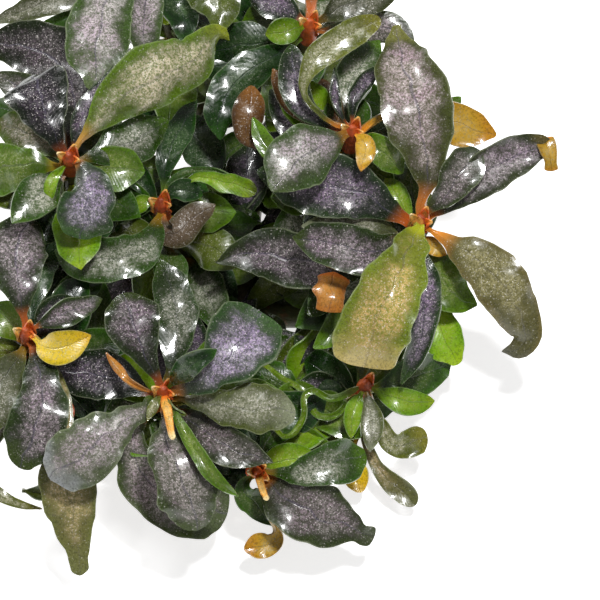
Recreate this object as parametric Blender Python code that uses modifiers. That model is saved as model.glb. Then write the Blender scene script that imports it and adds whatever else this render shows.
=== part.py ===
"""Bucephalandra: a clump of a small aquarium plant, growing from its creeping rhizome.

The rhizome lies on the ground and is flat where it was cut from its rock. Shoots branch off it
and rise to their crowns, and every crown carries a whorl of thick, glossy leaves. A leaf is a
flat blank, given its thickness and then bent along a guide curve by a Curve modifier.
"""

import math
from typing import NamedTuple

import bmesh
import bpy
from mathutils import Matrix, Vector

MM = 0.001

# The leaves' routes are written as the plant is drawn, looking down on it at 60 degrees: x runs
# across the drawing, y runs up it, and the third number is the height over the ground, in mm.
DRAWING_TILT = math.radians(30.0)
DRAWING_CENTRE = (48.0, 60.0)

# Sizes, in mm
RHIZOME_RADIUS = 3.0
SHOOT_RADIUS = 2.5
STEM_RADIUS = 1.8
CROWN_RADIUS = 2.1
STRAIGHT_FROM = 0.25
BUD_LENGTH = 2.4
BUD_RADIUS = 0.7
LEAF_SPACING = 1.8
BLADE_THICKNESS = 0.65
PETIOLE_THICKNESS = 1.0
BASE_CLEARANCE = 0.65
CURL_LENGTH = 5.0
WELD_DISTANCE = 0.01
GROUND_CUTTER_SIZE = 200.0

# Shares and counts
PETIOLE_SHARE = 0.11
TIP_ROUNDING = 0.75
CLIMB_SHARE = 0.75
SUNK_SHARE = 0.3
WAVE_TURN = 9.0
WIDE_LEAF = 11.2
WIDE_LEAF_ROWS = 8
LEAF_ROWS = 7
SMALL_LEAF_ROWS = 4
GUIDE_STEPS = 8
STEM_STEPS = 2

# Each outline: where the petiole ends, where the blade is widest, how slowly it widens, how full
# its tip is, and how wide its end stays; all are shares of the length or of the width.
OUTLINES = {
    "lance": (0.08, 0.45, 0.95, 1.6, 0.06),
    "oval": (0.12, 0.52, 0.9, 2.4, 0.10),
    "strap": (0.08, 0.60, 0.9, 3.6, 0.25),
    "blunt": (0.08, 0.78, 1.05, 5.0, 0.50),
    "shouldered": (0.10, 0.56, 1.0, 1.6, 0.22),
    "spoon": (0.42, 0.74, 0.9, 2.6, 0.15),
    "paddle": (0.36, 0.74, 1.1, 4.0, 0.40),
    "ladle": (0.62, 0.84, 0.8, 2.6, 0.30),
    "fishtail": (0.14, 0.93, 1.9, 5.0, 0.75),
    "stalk": (0.02, 0.10, 1.0, 6.0, 0.80),
}

# Colour, roughness
FINISHES = {
    "plum": ((0.085, 0.070, 0.095), 0.32),
    "silver": ((0.230, 0.235, 0.240), 0.36),
    "olive": ((0.130, 0.150, 0.050), 0.32),
    "deep_green": ((0.020, 0.075, 0.022), 0.28),
    "lime": ((0.200, 0.330, 0.020), 0.30),
    "gold": ((0.420, 0.270, 0.045), 0.34),
    "copper": ((0.230, 0.130, 0.060), 0.38),
    "rhizome": ((0.120, 0.045, 0.020), 0.55),
    "shoot": ((0.380, 0.120, 0.035), 0.45),
}

# The crowns, at the tops of their shoots
CROWNS = {
    "left": (14.0, 88.5, 45.0),
    "back_left": (31.0, 131.0, 30.0),
    "back": (62.0, 116.0, 36.0),
    "top": (70.4, 94.0, 42.0),
    "right": (84.0, 76.0, 34.0),
    "inner": (32.0, 79.5, 28.0),
    "front": (33.0, 42.0, 30.0),
    "front_left": (5.5, 53.5, 30.0),
    "low_right": (73.0, 43.0, 16.0),
    "tip": (51.6, 26.0, 17.5),
}

# The shoots' routes below their crowns, in mm over the ground plan: x, y and height
SHOOTS = {
    "tip": [(2.0, 30.0, 2.3), (0.6, 12.0, 2.3), (0.0, 0.0, 2.3), (-1.5, -14.0, 2.3), (-0.5, -32.0, 2.6),
            (2.6, -44.0, 8.5)],
    "left": [(-4.2, 15.0, 2.2), (-18.0, 15.0, 2.2), (-29.0, 11.5, 9.0), (-33.2, 8.6, 27.0)],
    "back_left": [(-3.0, 31.0, 2.2), (-8.0, 43.0, 2.2), (-13.5, 57.0, 7.0), (-16.2, 63.0, 18.0)],
    "back": [(2.8, 34.6, 2.2), (6.0, 39.0, 3.6), (11.0, 42.4, 13.0), (13.2, 43.6, 24.0)],
    "top": [(4.6, 13.0, 2.2), (12.0, 14.0, 3.2), (19.0, 15.0, 14.0), (21.6, 15.1, 28.0)],
    "right": [(3.8, -5.0, 2.2), (18.0, -4.2, 2.2), (30.0, -2.8, 9.0), (34.4, -1.8, 21.0)],
    "inner": [(-3.6, 4.0, 2.2), (-9.0, 5.0, 3.4), (-13.5, 6.0, 10.0), (-15.4, 6.3, 18.0)],
    "front": [(-7.8, -18.0, 2.2), (-10.0, -25.0, 2.4), (-13.5, -33.6, 8.0), (-14.7, -37.0, 19.0)],
    "front_left": [(-5.8, -8.0, 2.2), (-22.0, -14.0, 2.2), (-36.0, -21.4, 6.0), (-41.2, -24.0, 18.0)],
    "low_right": [(3.8, -23.0, 2.2), (12.0, -25.0, 2.2), (20.0, -27.6, 3.4), (23.8, -28.6, 8.6)],
}


class Leaf(NamedTuple):
    """One leaf: its crown, how many places under the crown it grows, and its midrib's route.

    Roll turns the blade about its midrib, and a pair of rolls turns it from base to tip. Cup lifts
    both margins. Curl rolls the tip under. All are in degrees. Wave is the margins' ripple in mm.
    """

    crown: str
    level: float
    route: list
    width: float
    outline: str = "oval"
    roll: tuple = (0.0, 0.0)
    cup: float = 12.0
    curl: float = 0.0
    wave: float = 0.0
    finish: str = "olive"


# The leaves that are pieces of their own
LEAVES = [
    Leaf("left", 0, [(22, 98, 49), (30, 103.5, 51), (38, 107.5, 50), (44.5, 113.2, 47)], 13, "lance",
         (18, 20), -16),
    Leaf("left", 1, [(16.8, 97, 44.5), (20, 102, 45), (22.6, 106.8, 45.6)], 4.6, "lance",
         (0, 0), 10, finish="plum"),
    Leaf("left", 0.5, [(10.0, 95.5, 49), (7.2, 103.4, 50)], 13, "blunt", (0, 0), -8, 70, finish="plum"),
    Leaf("left", 3, [(14.4, 101, 37.5), (11.2, 108.3, 35), (3.5, 112.6, 32.5), (-6, 113, 28)], 13, "oval",
         (0, 0), 6, finish="plum"),
    Leaf("left", 2, [(6, 87, 43), (-1, 86, 39.5), (-9, 83.5, 33)], 10.5, "strap", (0, 0), -12),
    Leaf("left", 0, [(18.8, 82.5, 47), (17.6, 77, 44.5), (16.3, 72.8, 41)], 12, "blunt", (0, -15), -12,
         finish="silver"),
    Leaf("left", 2, [(23, 91, 42), (29, 94.3, 41), (33.6, 97, 39)], 7.5, "oval", (0, 10), -10,
         finish="deep_green"),
    Leaf("back_left", 0, [(23, 125, 40), (19.6, 115, 44), (18.6, 103.2, 42.5)], 13, "blunt", (0, 0), -6,
         finish="silver"),
    Leaf("back_left", 0, [(39, 126, 36), (43.6, 120, 38.5), (44, 114.2, 37)], 10.4, "strap", (0, 0), -12),
    Leaf("back_left", 2, [(34, 122, 30), (36.3, 117, 31), (36.2, 112, 29)], 7.5, "oval", (0, 0), 10,
         finish="deep_green"),
    Leaf("back_left", 1, [(23, 138, 30), (13, 142, 24), (3, 143, 14)], 12, "oval", (0, 0), 10,
         finish="plum"),
    Leaf("back", 2.5, [(54, 109, 33.5), (47, 104, 33), (44, 98, 32), (43.6, 92.5, 29)], 8.5, "strap",
         (0, 0), -10, finish="deep_green"),
    Leaf("back", 0, [(70, 119.8, 39.5), (80, 123.5, 36.5)], 8, "oval", (0, 0), 10),
    Leaf("back", 1.6, [(71, 115, 32.6), (78.5, 115, 32.6), (83.2, 110.5, 30.5)], 6.5, "strap", (0, 0), -10,
         finish="plum"),
    Leaf("back", 1, [(63, 125, 35), (67, 134, 27), (70, 141, 16)], 11, "oval", (0, 0), 12,
         finish="plum"),
    Leaf("top", 0, [(64, 97, 46), (60.9, 101.8, 49), (62.4, 107, 51.5), (67.5, 111.6, 53), (75.4, 116, 53)],
         6.8, "paddle"),
    Leaf("top", 0, [(65, 91, 46), (59, 87.3, 47.5), (54.8, 81.4, 45.5)], 12.6, "strap", (0, 0), -10,
         finish="silver"),
    Leaf("top", 1.5, [(77, 96.8, 42), (85, 97, 40), (92, 95.2, 38.5), (98.3, 93, 36)], 7.8, "spoon",
         (0, 0), 10, finish="gold"),
    Leaf("top", 1, [(63.5, 96.4, 42.8), (60, 100, 44.5), (58.8, 105, 46), (58.3, 111.4, 45)], 6.2, "strap",
         (0, 0), 14, finish="plum"),
    Leaf("top", 4, [(63, 93.6, 36.6), (58, 96.6, 37), (54, 102.5, 36.6)], 7.2, "oval", (0, 0), 14,
         finish="plum"),
    Leaf("top", 5.5, [(61, 90, 34.5), (53.5, 89.5, 36), (49.6, 92.5, 38), (49.6, 97, 41),
                      (50.6, 102.6, 41.5)],
         6.6, "ladle", (0, 0), -14, finish="copper"),
    Leaf("right", 2, [(73, 81, 36.5), (64, 83.2, 37.5), (51.5, 85.8, 38)], 13, "strap", (0, 0), 2,
         finish="plum"),
    Leaf("right", 0, [(85.4, 86, 41.5), (84, 94, 46.5), (81.9, 102, 49.5), (79.6, 109, 48.5),
                      (78.6, 115, 45.5)],
         14.5, "shouldered", (-8, 0), 12, finish="plum"),
    Leaf("right", 1, [(92.5, 81.8, 37.5), (99, 87, 40.5), (105, 89.4, 42), (110.2, 89.3, 42)], 9, "blunt",
         (0, 10), 14, 80, finish="plum"),
    Leaf("right", 0.6, [(90.5, 71.5, 34.6), (96.5, 67.5, 33), (102, 61.5, 29), (105.4, 55.5, 23),
                        (105, 51.4, 19), (101.4, 49.6, 17)],
         11.4, "lance", (0, 0), -14, wave=0.7, finish="copper"),
    Leaf("right", 0, [(81, 68.5, 39), (77.6, 60.5, 40), (74.6, 53.5, 36), (73.4, 48.6, 31.5)], 14.5, "blunt",
         (0, 0), 14, 100, finish="gold"),
    Leaf("right", 3, [(85, 65, 32), (84.8, 58, 30), (83.6, 51, 26), (80.2, 43.2, 20)], 6.2, "lance",
         (0, 0), 20, finish="plum"),
    Leaf("right", 4, [(87.6, 66, 26.5), (90.4, 61.4, 24), (95.6, 59, 21)], 10, "lance", (0, 0), 12,
         finish="deep_green"),
    Leaf("right", 6, [(87.6, 62, 19), (89.2, 54.6, 16.5), (91.2, 47.9, 13)], 6, "spoon", (0, 0), 10,
         finish="lime"),
    Leaf("right", 2, [(74, 69.6, 36), (66, 71.4, 37), (58.6, 72.6, 35)], 9.5, "strap", (0, 0), 12,
         finish="silver"),
    Leaf("right", 5, [(70, 67.6, 26.5), (60, 68, 26.5), (50, 69.6, 27), (43.2, 67.4, 26)], 12, "oval",
         (0, 0), 8, finish="silver"),
    Leaf("right", 6, [(74, 65, 21.5), (66.5, 62.5, 21), (61.8, 57, 19.5)], 9, "strap", (0, 0), 8,
         finish="olive"),
    Leaf("inner", 0, [(33.5, 89, 32), (36, 95, 31), (39, 100.5, 28)], 6, "lance", (0, 0), 10,
         finish="deep_green"),
    Leaf("inner", 1, [(34, 73, 28), (38.5, 76.6, 30), (43, 79.2, 31)], 6.4, "oval", (0, 0), -12,
         finish="copper"),
    Leaf("inner", 1, [(28, 70, 30), (18, 68, 30.5), (10.8, 69.6, 27)], 9.4, "strap", (0, 0), 10,
         finish="olive"),
    Leaf("front", 0, [(29, 50, 35), (26.6, 56.5, 37.5), (25, 61, 36.5)], 11, "blunt", (0, 0), -10,
         finish="plum"),
    Leaf("front", 2, [(35.4, 52, 30.5), (34.9, 60, 31), (31.8, 68.4, 29)], 8.6, "oval", (0, 0), 10,
         finish="deep_green"),
    Leaf("front", 0, [(43.4, 45.8, 36.5), (49, 50.8, 39), (54.2, 57.4, 38)], 12.6, "oval", (0, 0), 10,
         finish="silver"),
    Leaf("front", 1, [(42, 39.4, 31), (50, 38.6, 32.3), (59, 38, 29.5)], 9.4, "oval", (0, 0), -10,
         wave=0.5, finish="olive"),
    Leaf("front", 3, [(41, 34.2, 26), (47, 30.4, 25.6), (54.6, 28, 24.6)], 8.2, "oval", (0, 0), 8,
         finish="plum"),
    Leaf("front", 1, [(34.5, 30, 31.5), (38, 21.5, 28.5), (40, 13.4, 22)], 11.2, "blunt", (0, 0), -8,
         finish="silver"),
    Leaf("front", 3, [(27.2, 30, 25), (30.8, 21.6, 19.5), (41, 14, 12)], 13.6, "oval", (0, 0), 4,
         finish="plum"),
    Leaf("front", 1, [(23.8, 35, 31.5), (17, 29.4, 30), (11.4, 25.4, 27)], 12, "blunt", (0, 0), -10,
         finish="silver"),
    Leaf("front", 3, [(23, 44.6, 27.5), (15, 45.6, 26), (9, 46, 23)], 10, "oval", (0, 0), 4,
         finish="plum"),
    Leaf("front_left", 0, [(4, 63, 35), (3.5, 70, 36), (6.4, 77.2, 33)], 12, "strap", (0, 0), -8,
         finish="silver"),
    Leaf("front_left", 1, [(9, 42, 32), (7.6, 34, 29), (4.6, 27.4, 24)], 12, "blunt", (0, 0), -10,
         finish="plum"),
    Leaf("front_left", 2, [(1, 44, 28.5), (-4, 37, 25.5), (-9, 32, 21)], 9.5, "oval", (0, 0), 6,
         finish="silver"),
    Leaf("front_left", 3, [(13, 43, 27.5), (14.2, 36, 26), (12.8, 28, 23.5), (13.8, 18, 17.5), (16, 6.3, 9)],
         10, "spoon", (0, 0), -10, wave=0.6, finish="copper"),
    Leaf("tip", 0, [(60, 26, 21.5), (66, 27.4, 22), (72.6, 29.4, 19)], 8.4, "strap", (0, 0), 12,
         finish="silver"),
    Leaf("tip", 1, [(59, 20.6, 17.5), (66, 17, 14.5), (74.2, 13.4, 9.5)], 13, "strap", (0, 0), 8, wave=0.5,
         finish="plum"),
]

# The small leaves, buds and stalks that are one with their shoot
SMALL_LEAVES = [
    Leaf("left", 1, [(7, 93.4, 42), (0.5, 96.4, 38)], 5.6, "strap", finish="copper"),
    Leaf("left", 1, [(10.6, 83.6, 43.2), (9.8, 79.2, 41)], 2.6, "strap", finish="lime"),
    Leaf("left", 3, [(8.5, 81.1, 37.7), (1.8, 78.3, 34.6)], 7.4, "oval", finish="plum"),
    Leaf("back_left", 1, [(28.7, 121, 34.5), (28.2, 108.5, 35.5)], 7.5, "strap", finish="silver"),
    Leaf("back_left", 1, [(37, 138, 28), (43, 145, 18)], 10, "oval", finish="olive"),
    Leaf("back", 0.3, [(58, 114.9, 37.5), (53.4, 114.2, 36.5)], 5, "oval", finish="lime"),
    Leaf("back", 0, [(56, 119.6, 36.5), (49.5, 122, 34)], 6.5, "oval", finish="plum"),
    Leaf("top", 0, [(67.6, 98.4, 45), (66.9, 106.6, 47)], 1.8, "strap", finish="plum"),
    Leaf("top", 3, [(69.6, 101.5, 40.5), (75, 110.2, 41)], 6, "oval", finish="deep_green"),
    Leaf("top", 0, [(70.6, 99.4, 44.5), (75.6, 107, 45)], 3.6, "strap", finish="plum"),
    Leaf("top", 0, [(73, 91, 44), (72.1, 85.8, 43.6)], 4.2, "oval", finish="gold"),
    Leaf("top", 1, [(76, 90, 42.4), (80.6, 85.4, 37.5)], 6.4, "oval", finish="deep_green"),
    Leaf("top", 2.5, [(63.4, 96, 39.6), (58, 100.4, 40.6), (54.6, 106.6, 40.6)], 4.6, "strap",
         finish="copper"),
    Leaf("right", 0, [(89.8, 82.6, 40.5), (94.2, 89.4, 43.5)], 7.4, "oval", finish="plum"),
    Leaf("right", 2.5, [(87, 70.4, 30.4), (89.3, 69, 29.4)], 3.4, "oval", finish="gold"),
    Leaf("right", 4, [(72, 75, 32), (60.4, 74.8, 31.2)], 5.5, "strap", finish="olive"),
    Leaf("right", 8, [(76, 63, 15), (70, 56.5, 16.5), (63, 50.2, 16.5)], 7.6, "strap", finish="lime"),
    Leaf("right", 3, [(79.6, 80.6, 32.8), (77, 84.4, 33)], 4.4, "strap", finish="lime"),
    Leaf("front", 0, [(38.2, 46.9, 38.5), (43.6, 50.2, 42)], 5, "oval", finish="deep_green"),
    Leaf("front", 0, [(39.4, 30.6, 33.5), (43.4, 25, 31.5), (47.8, 21.4, 27)], 3, "strap", finish="lime"),
    Leaf("front", 0, [(34.2, 36.6, 34.5), (35, 33.2, 36.5)], 1.6, "stalk", finish="gold"),
    Leaf("front", 1, [(27, 43.6, 32.5), (23.4, 46.2, 32.5), (21.4, 49.4, 31)], 1.8, "stalk", finish="shoot"),
    Leaf("front_left", 0, [(12.5, 57, 33), (20.6, 60.2, 31)], 5, "oval", finish="plum"),
    Leaf("front_left", 0, [(11.5, 50.8, 34.6), (18.4, 53, 36)], 6.8, "oval", finish="gold"),
    Leaf("front_left", 3, [(-4, 39, 20), (-4, 27, 16), (1, 21.8, 14), (8.6, 18.8, 11)], 2.8, "strap",
         finish="olive"),
    Leaf("tip", 1, [(49.6, 20.6, 14.5), (52.8, 15.4, 10)], 6.6, "strap", finish="deep_green"),
    Leaf("tip", 2, [(54, 17.5, 12), (56, 12, 8.5), (50.2, 9.6, 8)], 5.2, "ladle", finish="gold"),
    Leaf("tip", 0, [(52.6, 22.4, 20.4), (53.4, 20.8, 21.4)], 1.4, "stalk", finish="shoot"),
    Leaf("low_right", 0, [(76.3, 35.4, 14), (79.6, 31.4, 11.5), (84.6, 32, 10)], 5, "fishtail",
         finish="olive"),
    Leaf("low_right", 0, [(74.6, 35, 15.5), (74, 30.2, 13.5)], 3, "strap", finish="silver"),
    Leaf("low_right", 0, [(70.6, 37, 15), (70.2, 32.4, 13)], 4, "oval", finish="lime"),
    Leaf("low_right", 0, [(80, 40, 15), (86.6, 40.4, 12.5)], 4.2, "oval", finish="lime"),
    Leaf("low_right", 3, [(65, 41.4, 9), (57.6, 39.6, 8)], 8, "oval", finish="plum"),
    Leaf("low_right", 1, [(81, 44.6, 14.5), (89.6, 47.6, 10.5)], 6.4, "oval", finish="deep_green"),
    Leaf("low_right", 2, [(74.6, 29, 8), (82.6, 21.4, 4.5)], 2.8, "fishtail", finish="copper"),
    Leaf("low_right", 3, [(71.6, 34, 8), (70.6, 27.6, 7), (73.6, 23, 5.5)], 3.8, "ladle", finish="gold"),
    Leaf("low_right", 0, [(66.4, 40.4, 17), (61.8, 41.6, 17.4), (60.4, 36, 16), (57.4, 32.8, 14.6),
                          (54.8, 34.6, 14)],
         1.4, "stalk", finish="lime"),
    Leaf("low_right", 1.5, [(64.6, 36.6, 12.6), (60.4, 42, 13.4), (56, 44.6, 13.6), (52.8, 47.2, 13.4)],
         1.4, "stalk", finish="lime"),
    Leaf("inner", 0, [(29, 79.6, 29), (25.6, 77.4, 27.5)], 3.4, "oval", finish="lime"),
    Leaf("inner", 0, [(35, 82, 29.5), (40.4, 81, 28)], 5, "oval", finish="deep_green"),
    Leaf("inner", 1, [(27.5, 84.5, 29), (22.6, 88.4, 28)], 5, "oval", finish="deep_green"),
]


# Scene and helpers

def clear_scene():
    for item in list(bpy.data.objects):
        bpy.data.objects.remove(item)


def new_collection(name):
    collection = bpy.data.collections.new(name)
    bpy.context.scene.collection.children.link(collection)
    return collection


def hide_helper(item):
    item.hide_render = True
    item.display_type = "WIRE"


def drawn(x, y, height):
    """Point of the drawing's own frame: across it, up it and out towards the eye, in metres."""
    up = y - DRAWING_CENTRE[1]
    out = (height - up * math.sin(DRAWING_TILT)) / math.cos(DRAWING_TILT)
    return Vector((x - DRAWING_CENTRE[0], up, out)) * MM


def planned(x, y, height):
    """Point of the ground plan, in the drawing's own frame."""
    return Matrix.Rotation(-DRAWING_TILT, 3, "X") @ Vector((x, y, height)) * MM


def make_drawing_frame():
    """The empty that carries every piece drawn in the drawing's frame."""
    frame = bpy.data.objects.new("drawing_frame", None)
    frame.rotation_euler = (DRAWING_TILT, 0.0, 0.0)
    bpy.context.scene.collection.objects.link(frame)
    return frame


def make_materials():
    materials = {}
    for name, (colour, roughness) in FINISHES.items():
        material = bpy.data.materials.new(name)
        material.use_nodes = True
        shader = material.node_tree.nodes["Principled BSDF"]
        shader.inputs["Base Color"].default_value = (*colour, 1.0)
        shader.inputs["Roughness"].default_value = roughness
        shader.inputs["Metallic"].default_value = 0.0
        materials[name] = material
    return materials


# Leaves

def width_share(place, outline):
    """Share of the greatest width at a place along the leaf, from 0 at the base to 1 at the tip."""
    petiole_end, widest, slowness, fullness, end_share = OUTLINES[outline]
    if place <= petiole_end:
        return PETIOLE_SHARE
    if place < widest:
        rise = (place - petiole_end) / (widest - petiole_end)
        return PETIOLE_SHARE + (1.0 - PETIOLE_SHARE) * math.sin(rise * math.pi / 2.0) ** slowness
    fall = min(1.0, (place - widest) / (1.0 - widest))
    return max(end_share, (1.0 - fall ** fullness) ** TIP_ROUNDING)


def row_places(rows, petiole_end):
    """Where the rows of the blank lie: one or two span the petiole and the others the blade."""
    petiole_rows = 2 if rows > SMALL_LEAF_ROWS else 1
    blade_rows = rows - petiole_rows
    places = [petiole_end * row / petiole_rows for row in range(petiole_rows)]
    places += [petiole_end + (1.0 - petiole_end) * row / blade_rows for row in range(blade_rows + 1)]
    return places


def leaf_base(leaf):
    """Where the petiole leaves its stem, a little clear of it."""
    crown = drawn(*CROWNS[leaf.crown])
    below = planned(*SHOOTS[leaf.crown][-1])
    axis = (crown - below).normalized()
    centre = crown - axis * leaf.level * LEAF_SPACING * MM
    outwards = drawn(*leaf.route[0]) - centre
    outwards -= axis * outwards.dot(axis) * CLIMB_SHARE
    return centre, outwards.normalized()


def make_guide(name, points, roll, frame, collection):
    """The midrib as a smooth curve; its tilt turns the blade about the midrib."""
    data = bpy.data.curves.new(name, "CURVE")
    data.dimensions = "3D"
    data.twist_mode = "Z_UP"
    data.resolution_u = GUIDE_STEPS
    spline = data.splines.new("BEZIER")
    spline.bezier_points.add(len(points) - 1)
    for index, (knot, point) in enumerate(zip(spline.bezier_points, points)):
        share = index / (len(points) - 1)
        knot.co = point
        knot.handle_left_type = "AUTO"
        knot.handle_right_type = "AUTO"
        knot.tilt = math.radians(roll[0] + (roll[1] - roll[0]) * share)
    guide = bpy.data.objects.new(name, data)
    guide.parent = frame
    collection.objects.link(guide)
    hide_helper(guide)
    return guide


def make_blank(name, leaf, length, rows, columns):
    """The flat leaf along +X, with its margins lifted by the cup and its tip rolled by the curl."""
    petiole_end = OUTLINES[leaf.outline][0]
    places = row_places(rows, petiole_end)
    half = leaf.width * MM / 2.0
    lift = math.tan(math.radians(leaf.cup))
    angle = math.radians(leaf.curl)
    curl_length = CURL_LENGTH * MM if leaf.curl else 0.0
    radius = curl_length / angle if leaf.curl else 1.0
    curl_start = length - (radius * math.sin(min(angle, math.pi / 2.0)) if leaf.curl else 0.0)
    flat_length = curl_start + curl_length
    mesh = bpy.data.meshes.new(name)
    bm = bmesh.new()
    bmesh.ops.create_grid(bm, x_segments=rows, y_segments=columns, size=1.0)
    weights = bm.verts.layers.deform.new()
    for vert in bm.verts:
        row = round((vert.co.x + 1.0) / 2.0 * rows)
        side = vert.co.y
        place = places[row]
        along = place * flat_length
        reach = half * width_share(place, leaf.outline)
        on_blade = max(0.0, (place - petiole_end) / (1.0 - petiole_end))
        height = reach * abs(side) * lift
        height += leaf.wave * MM * side * abs(side) * math.sin(on_blade * WAVE_TURN)
        if along > curl_start and leaf.curl:
            turn = (along - curl_start) / radius
            vert.co.x = curl_start + (radius + height) * math.sin(turn)
            vert.co.z = (radius + height) * math.cos(turn) - radius
        else:
            vert.co.x = along
            vert.co.z = height
        vert.co.y = reach * side
        vert[weights][0] = 1.0 if on_blade == 0.0 else 0.0
    bm.to_mesh(mesh)
    bm.free()
    mesh.shade_smooth()
    return mesh


def make_leaf(name, leaf, start, rows, columns, helpers, collection, materials):
    """A leaf from its start on the stem, along its route."""
    points = [start] + [drawn(*point) for point in leaf.route]
    guide = make_guide(name + "_midrib", points, leaf.roll, helpers["frame"], helpers["guides"])
    length = guide.data.splines[0].calc_length()
    mesh = make_blank(name, leaf, length, rows, columns)
    mesh.materials.append(materials[leaf.finish])
    piece = bpy.data.objects.new(name, mesh)
    piece.parent = helpers["frame"]
    piece.vertex_groups.new(name="petiole")
    collection.objects.link(piece)
    wall = piece.modifiers.new("thickness", "SOLIDIFY")
    wall.thickness = PETIOLE_THICKNESS * MM
    wall.offset = 0.0
    wall.vertex_group = "petiole"
    wall.thickness_vertex_group = BLADE_THICKNESS / PETIOLE_THICKNESS
    bend = piece.modifiers.new("midrib", "CURVE")
    bend.object = guide
    bend.deform_axis = "POS_X"
    return piece


def make_leaves(helpers, collection, materials):
    counts = {}
    for leaf in LEAVES:
        counts[leaf.crown] = counts.get(leaf.crown, 0) + 1
        name = f"leaf_{leaf.crown}_{counts[leaf.crown]}"
        centre, outwards = leaf_base(leaf)
        start = centre + outwards * (CROWN_RADIUS + BASE_CLEARANCE) * MM
        wide = leaf.width >= WIDE_LEAF
        rows = WIDE_LEAF_ROWS if wide else LEAF_ROWS
        make_leaf(name, leaf, start, rows, 4 if wide else 2, helpers, collection, materials)


# Rhizome and shoots

def make_stem_mesh(name, points, radii, frame, material):
    """A smooth tube through the points, as one welded mesh."""
    data = bpy.data.curves.new(name, "CURVE")
    data.dimensions = "3D"
    data.resolution_u = STEM_STEPS
    data.bevel_depth = MM
    data.bevel_resolution = 1
    data.use_fill_caps = True
    spline = data.splines.new("BEZIER")
    spline.bezier_points.add(len(points) - 1)
    for knot, point, radius in zip(spline.bezier_points, points, radii):
        knot.co = point
        knot.radius = radius
        knot.handle_left_type = "AUTO"
        knot.handle_right_type = "AUTO"
    tube = bpy.data.objects.new(name + "_tube", data)
    tube.parent = frame
    bpy.context.scene.collection.objects.link(tube)
    bpy.context.view_layer.update()
    evaluated = tube.evaluated_get(bpy.context.evaluated_depsgraph_get())
    mesh = bpy.data.meshes.new_from_object(evaluated)
    mesh.name = name
    bm = bmesh.new()
    bm.from_mesh(mesh)
    bmesh.ops.remove_doubles(bm, verts=bm.verts, dist=WELD_DISTANCE * MM)
    bmesh.ops.recalc_face_normals(bm, faces=bm.faces)
    bm.to_mesh(mesh)
    bm.free()
    mesh.materials.clear()
    mesh.materials.append(material)
    mesh.shade_smooth()
    bpy.data.objects.remove(tube)
    return mesh


def make_shoot(crown, helpers, collection, materials):
    """A shoot from the ground to its crown, with its small leaves grown on, cut flat underneath."""
    name = "rhizome" if crown == "tip" else "shoot_" + crown
    ground_radius = RHIZOME_RADIUS if crown == "tip" else SHOOT_RADIUS
    top = drawn(*CROWNS[crown])
    points = [planned(*point) for point in SHOOTS[crown]]
    axis = (top - points[-1]).normalized()
    radii = [ground_radius if height < RHIZOME_RADIUS else STEM_RADIUS for _, _, height in SHOOTS[crown]]
    points += [points[-1].lerp(top, STRAIGHT_FROM), top, top + axis * BUD_LENGTH * MM]
    radii += [STEM_RADIUS, CROWN_RADIUS, BUD_RADIUS]
    material = materials["rhizome" if crown == "tip" else "shoot"]
    mesh = make_stem_mesh(name, points, radii, helpers["frame"], material)
    shoot = bpy.data.objects.new(name, mesh)
    shoot.parent = helpers["frame"]
    collection.objects.link(shoot)
    joined = new_collection(name + "_small_leaves")
    small = [leaf for leaf in SMALL_LEAVES if leaf.crown == crown]
    for index, leaf in enumerate(small, 1):
        centre, outwards = leaf_base(leaf)
        start = centre + outwards * CROWN_RADIUS * SUNK_SHARE * MM
        rows = max(SMALL_LEAF_ROWS, len(leaf.route) + 2)
        piece = make_leaf(f"{name}_small_leaf_{index}", leaf, start, rows, 2, helpers, joined, materials)
        hide_helper(piece)
    if small:
        union = shoot.modifiers.new("small leaves", "BOOLEAN")
        union.operation = "UNION"
        union.operand_type = "COLLECTION"
        union.collection = joined
        union.solver = "MANIFOLD"
    cut = shoot.modifiers.new("flat underside", "BOOLEAN")
    cut.operation = "DIFFERENCE"
    cut.object = helpers["ground"]
    cut.solver = "MANIFOLD"
    return shoot


def make_ground_cutter(collection):
    """The block that cuts the rhizome and shoots flat at the ground."""
    size = GROUND_CUTTER_SIZE * MM
    bpy.ops.mesh.primitive_cube_add(size=size, location=(0.0, 0.0, -size / 2.0))
    cutter = bpy.context.object
    cutter.name = "ground_cutter"
    for holder in cutter.users_collection:
        holder.objects.unlink(cutter)
    collection.objects.link(cutter)
    hide_helper(cutter)
    return cutter


def main():
    clear_scene()
    plant = new_collection("bucephalandra")
    guides = new_collection("guides")
    cutters = new_collection("cutters")
    materials = make_materials()
    frame = make_drawing_frame()
    helpers = {"frame": frame, "guides": guides, "ground": make_ground_cutter(cutters)}
    for crown in CROWNS:
        make_shoot(crown, helpers, plant, materials)
    make_leaves(helpers, plant, materials)


main()
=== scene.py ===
import math
import random

import bmesh
import bpy
from mathutils import Matrix, Vector


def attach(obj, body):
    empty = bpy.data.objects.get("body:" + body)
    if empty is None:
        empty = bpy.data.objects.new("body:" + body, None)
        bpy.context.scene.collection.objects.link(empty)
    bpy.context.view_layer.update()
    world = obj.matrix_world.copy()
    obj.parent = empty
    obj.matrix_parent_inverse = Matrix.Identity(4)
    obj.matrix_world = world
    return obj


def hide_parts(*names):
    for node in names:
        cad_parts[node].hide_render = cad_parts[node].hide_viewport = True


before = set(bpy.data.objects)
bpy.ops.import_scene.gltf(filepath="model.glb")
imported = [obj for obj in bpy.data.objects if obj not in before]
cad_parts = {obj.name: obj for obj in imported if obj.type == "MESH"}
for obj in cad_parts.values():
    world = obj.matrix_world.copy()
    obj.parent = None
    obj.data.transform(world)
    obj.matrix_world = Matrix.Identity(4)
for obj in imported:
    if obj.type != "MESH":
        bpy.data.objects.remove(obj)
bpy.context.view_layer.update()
mm = 0.001
print("frame loaded:", len(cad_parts), "nodes")


# The leaves are placed on a drawing of the plant: x across it, y up it, and a height over the
# floor. The drawing is looked at from above, tilted back from straight down.
drawing = {"tilt": 30.0, "middleX": 48.0, "middleY": 60.0}


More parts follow.
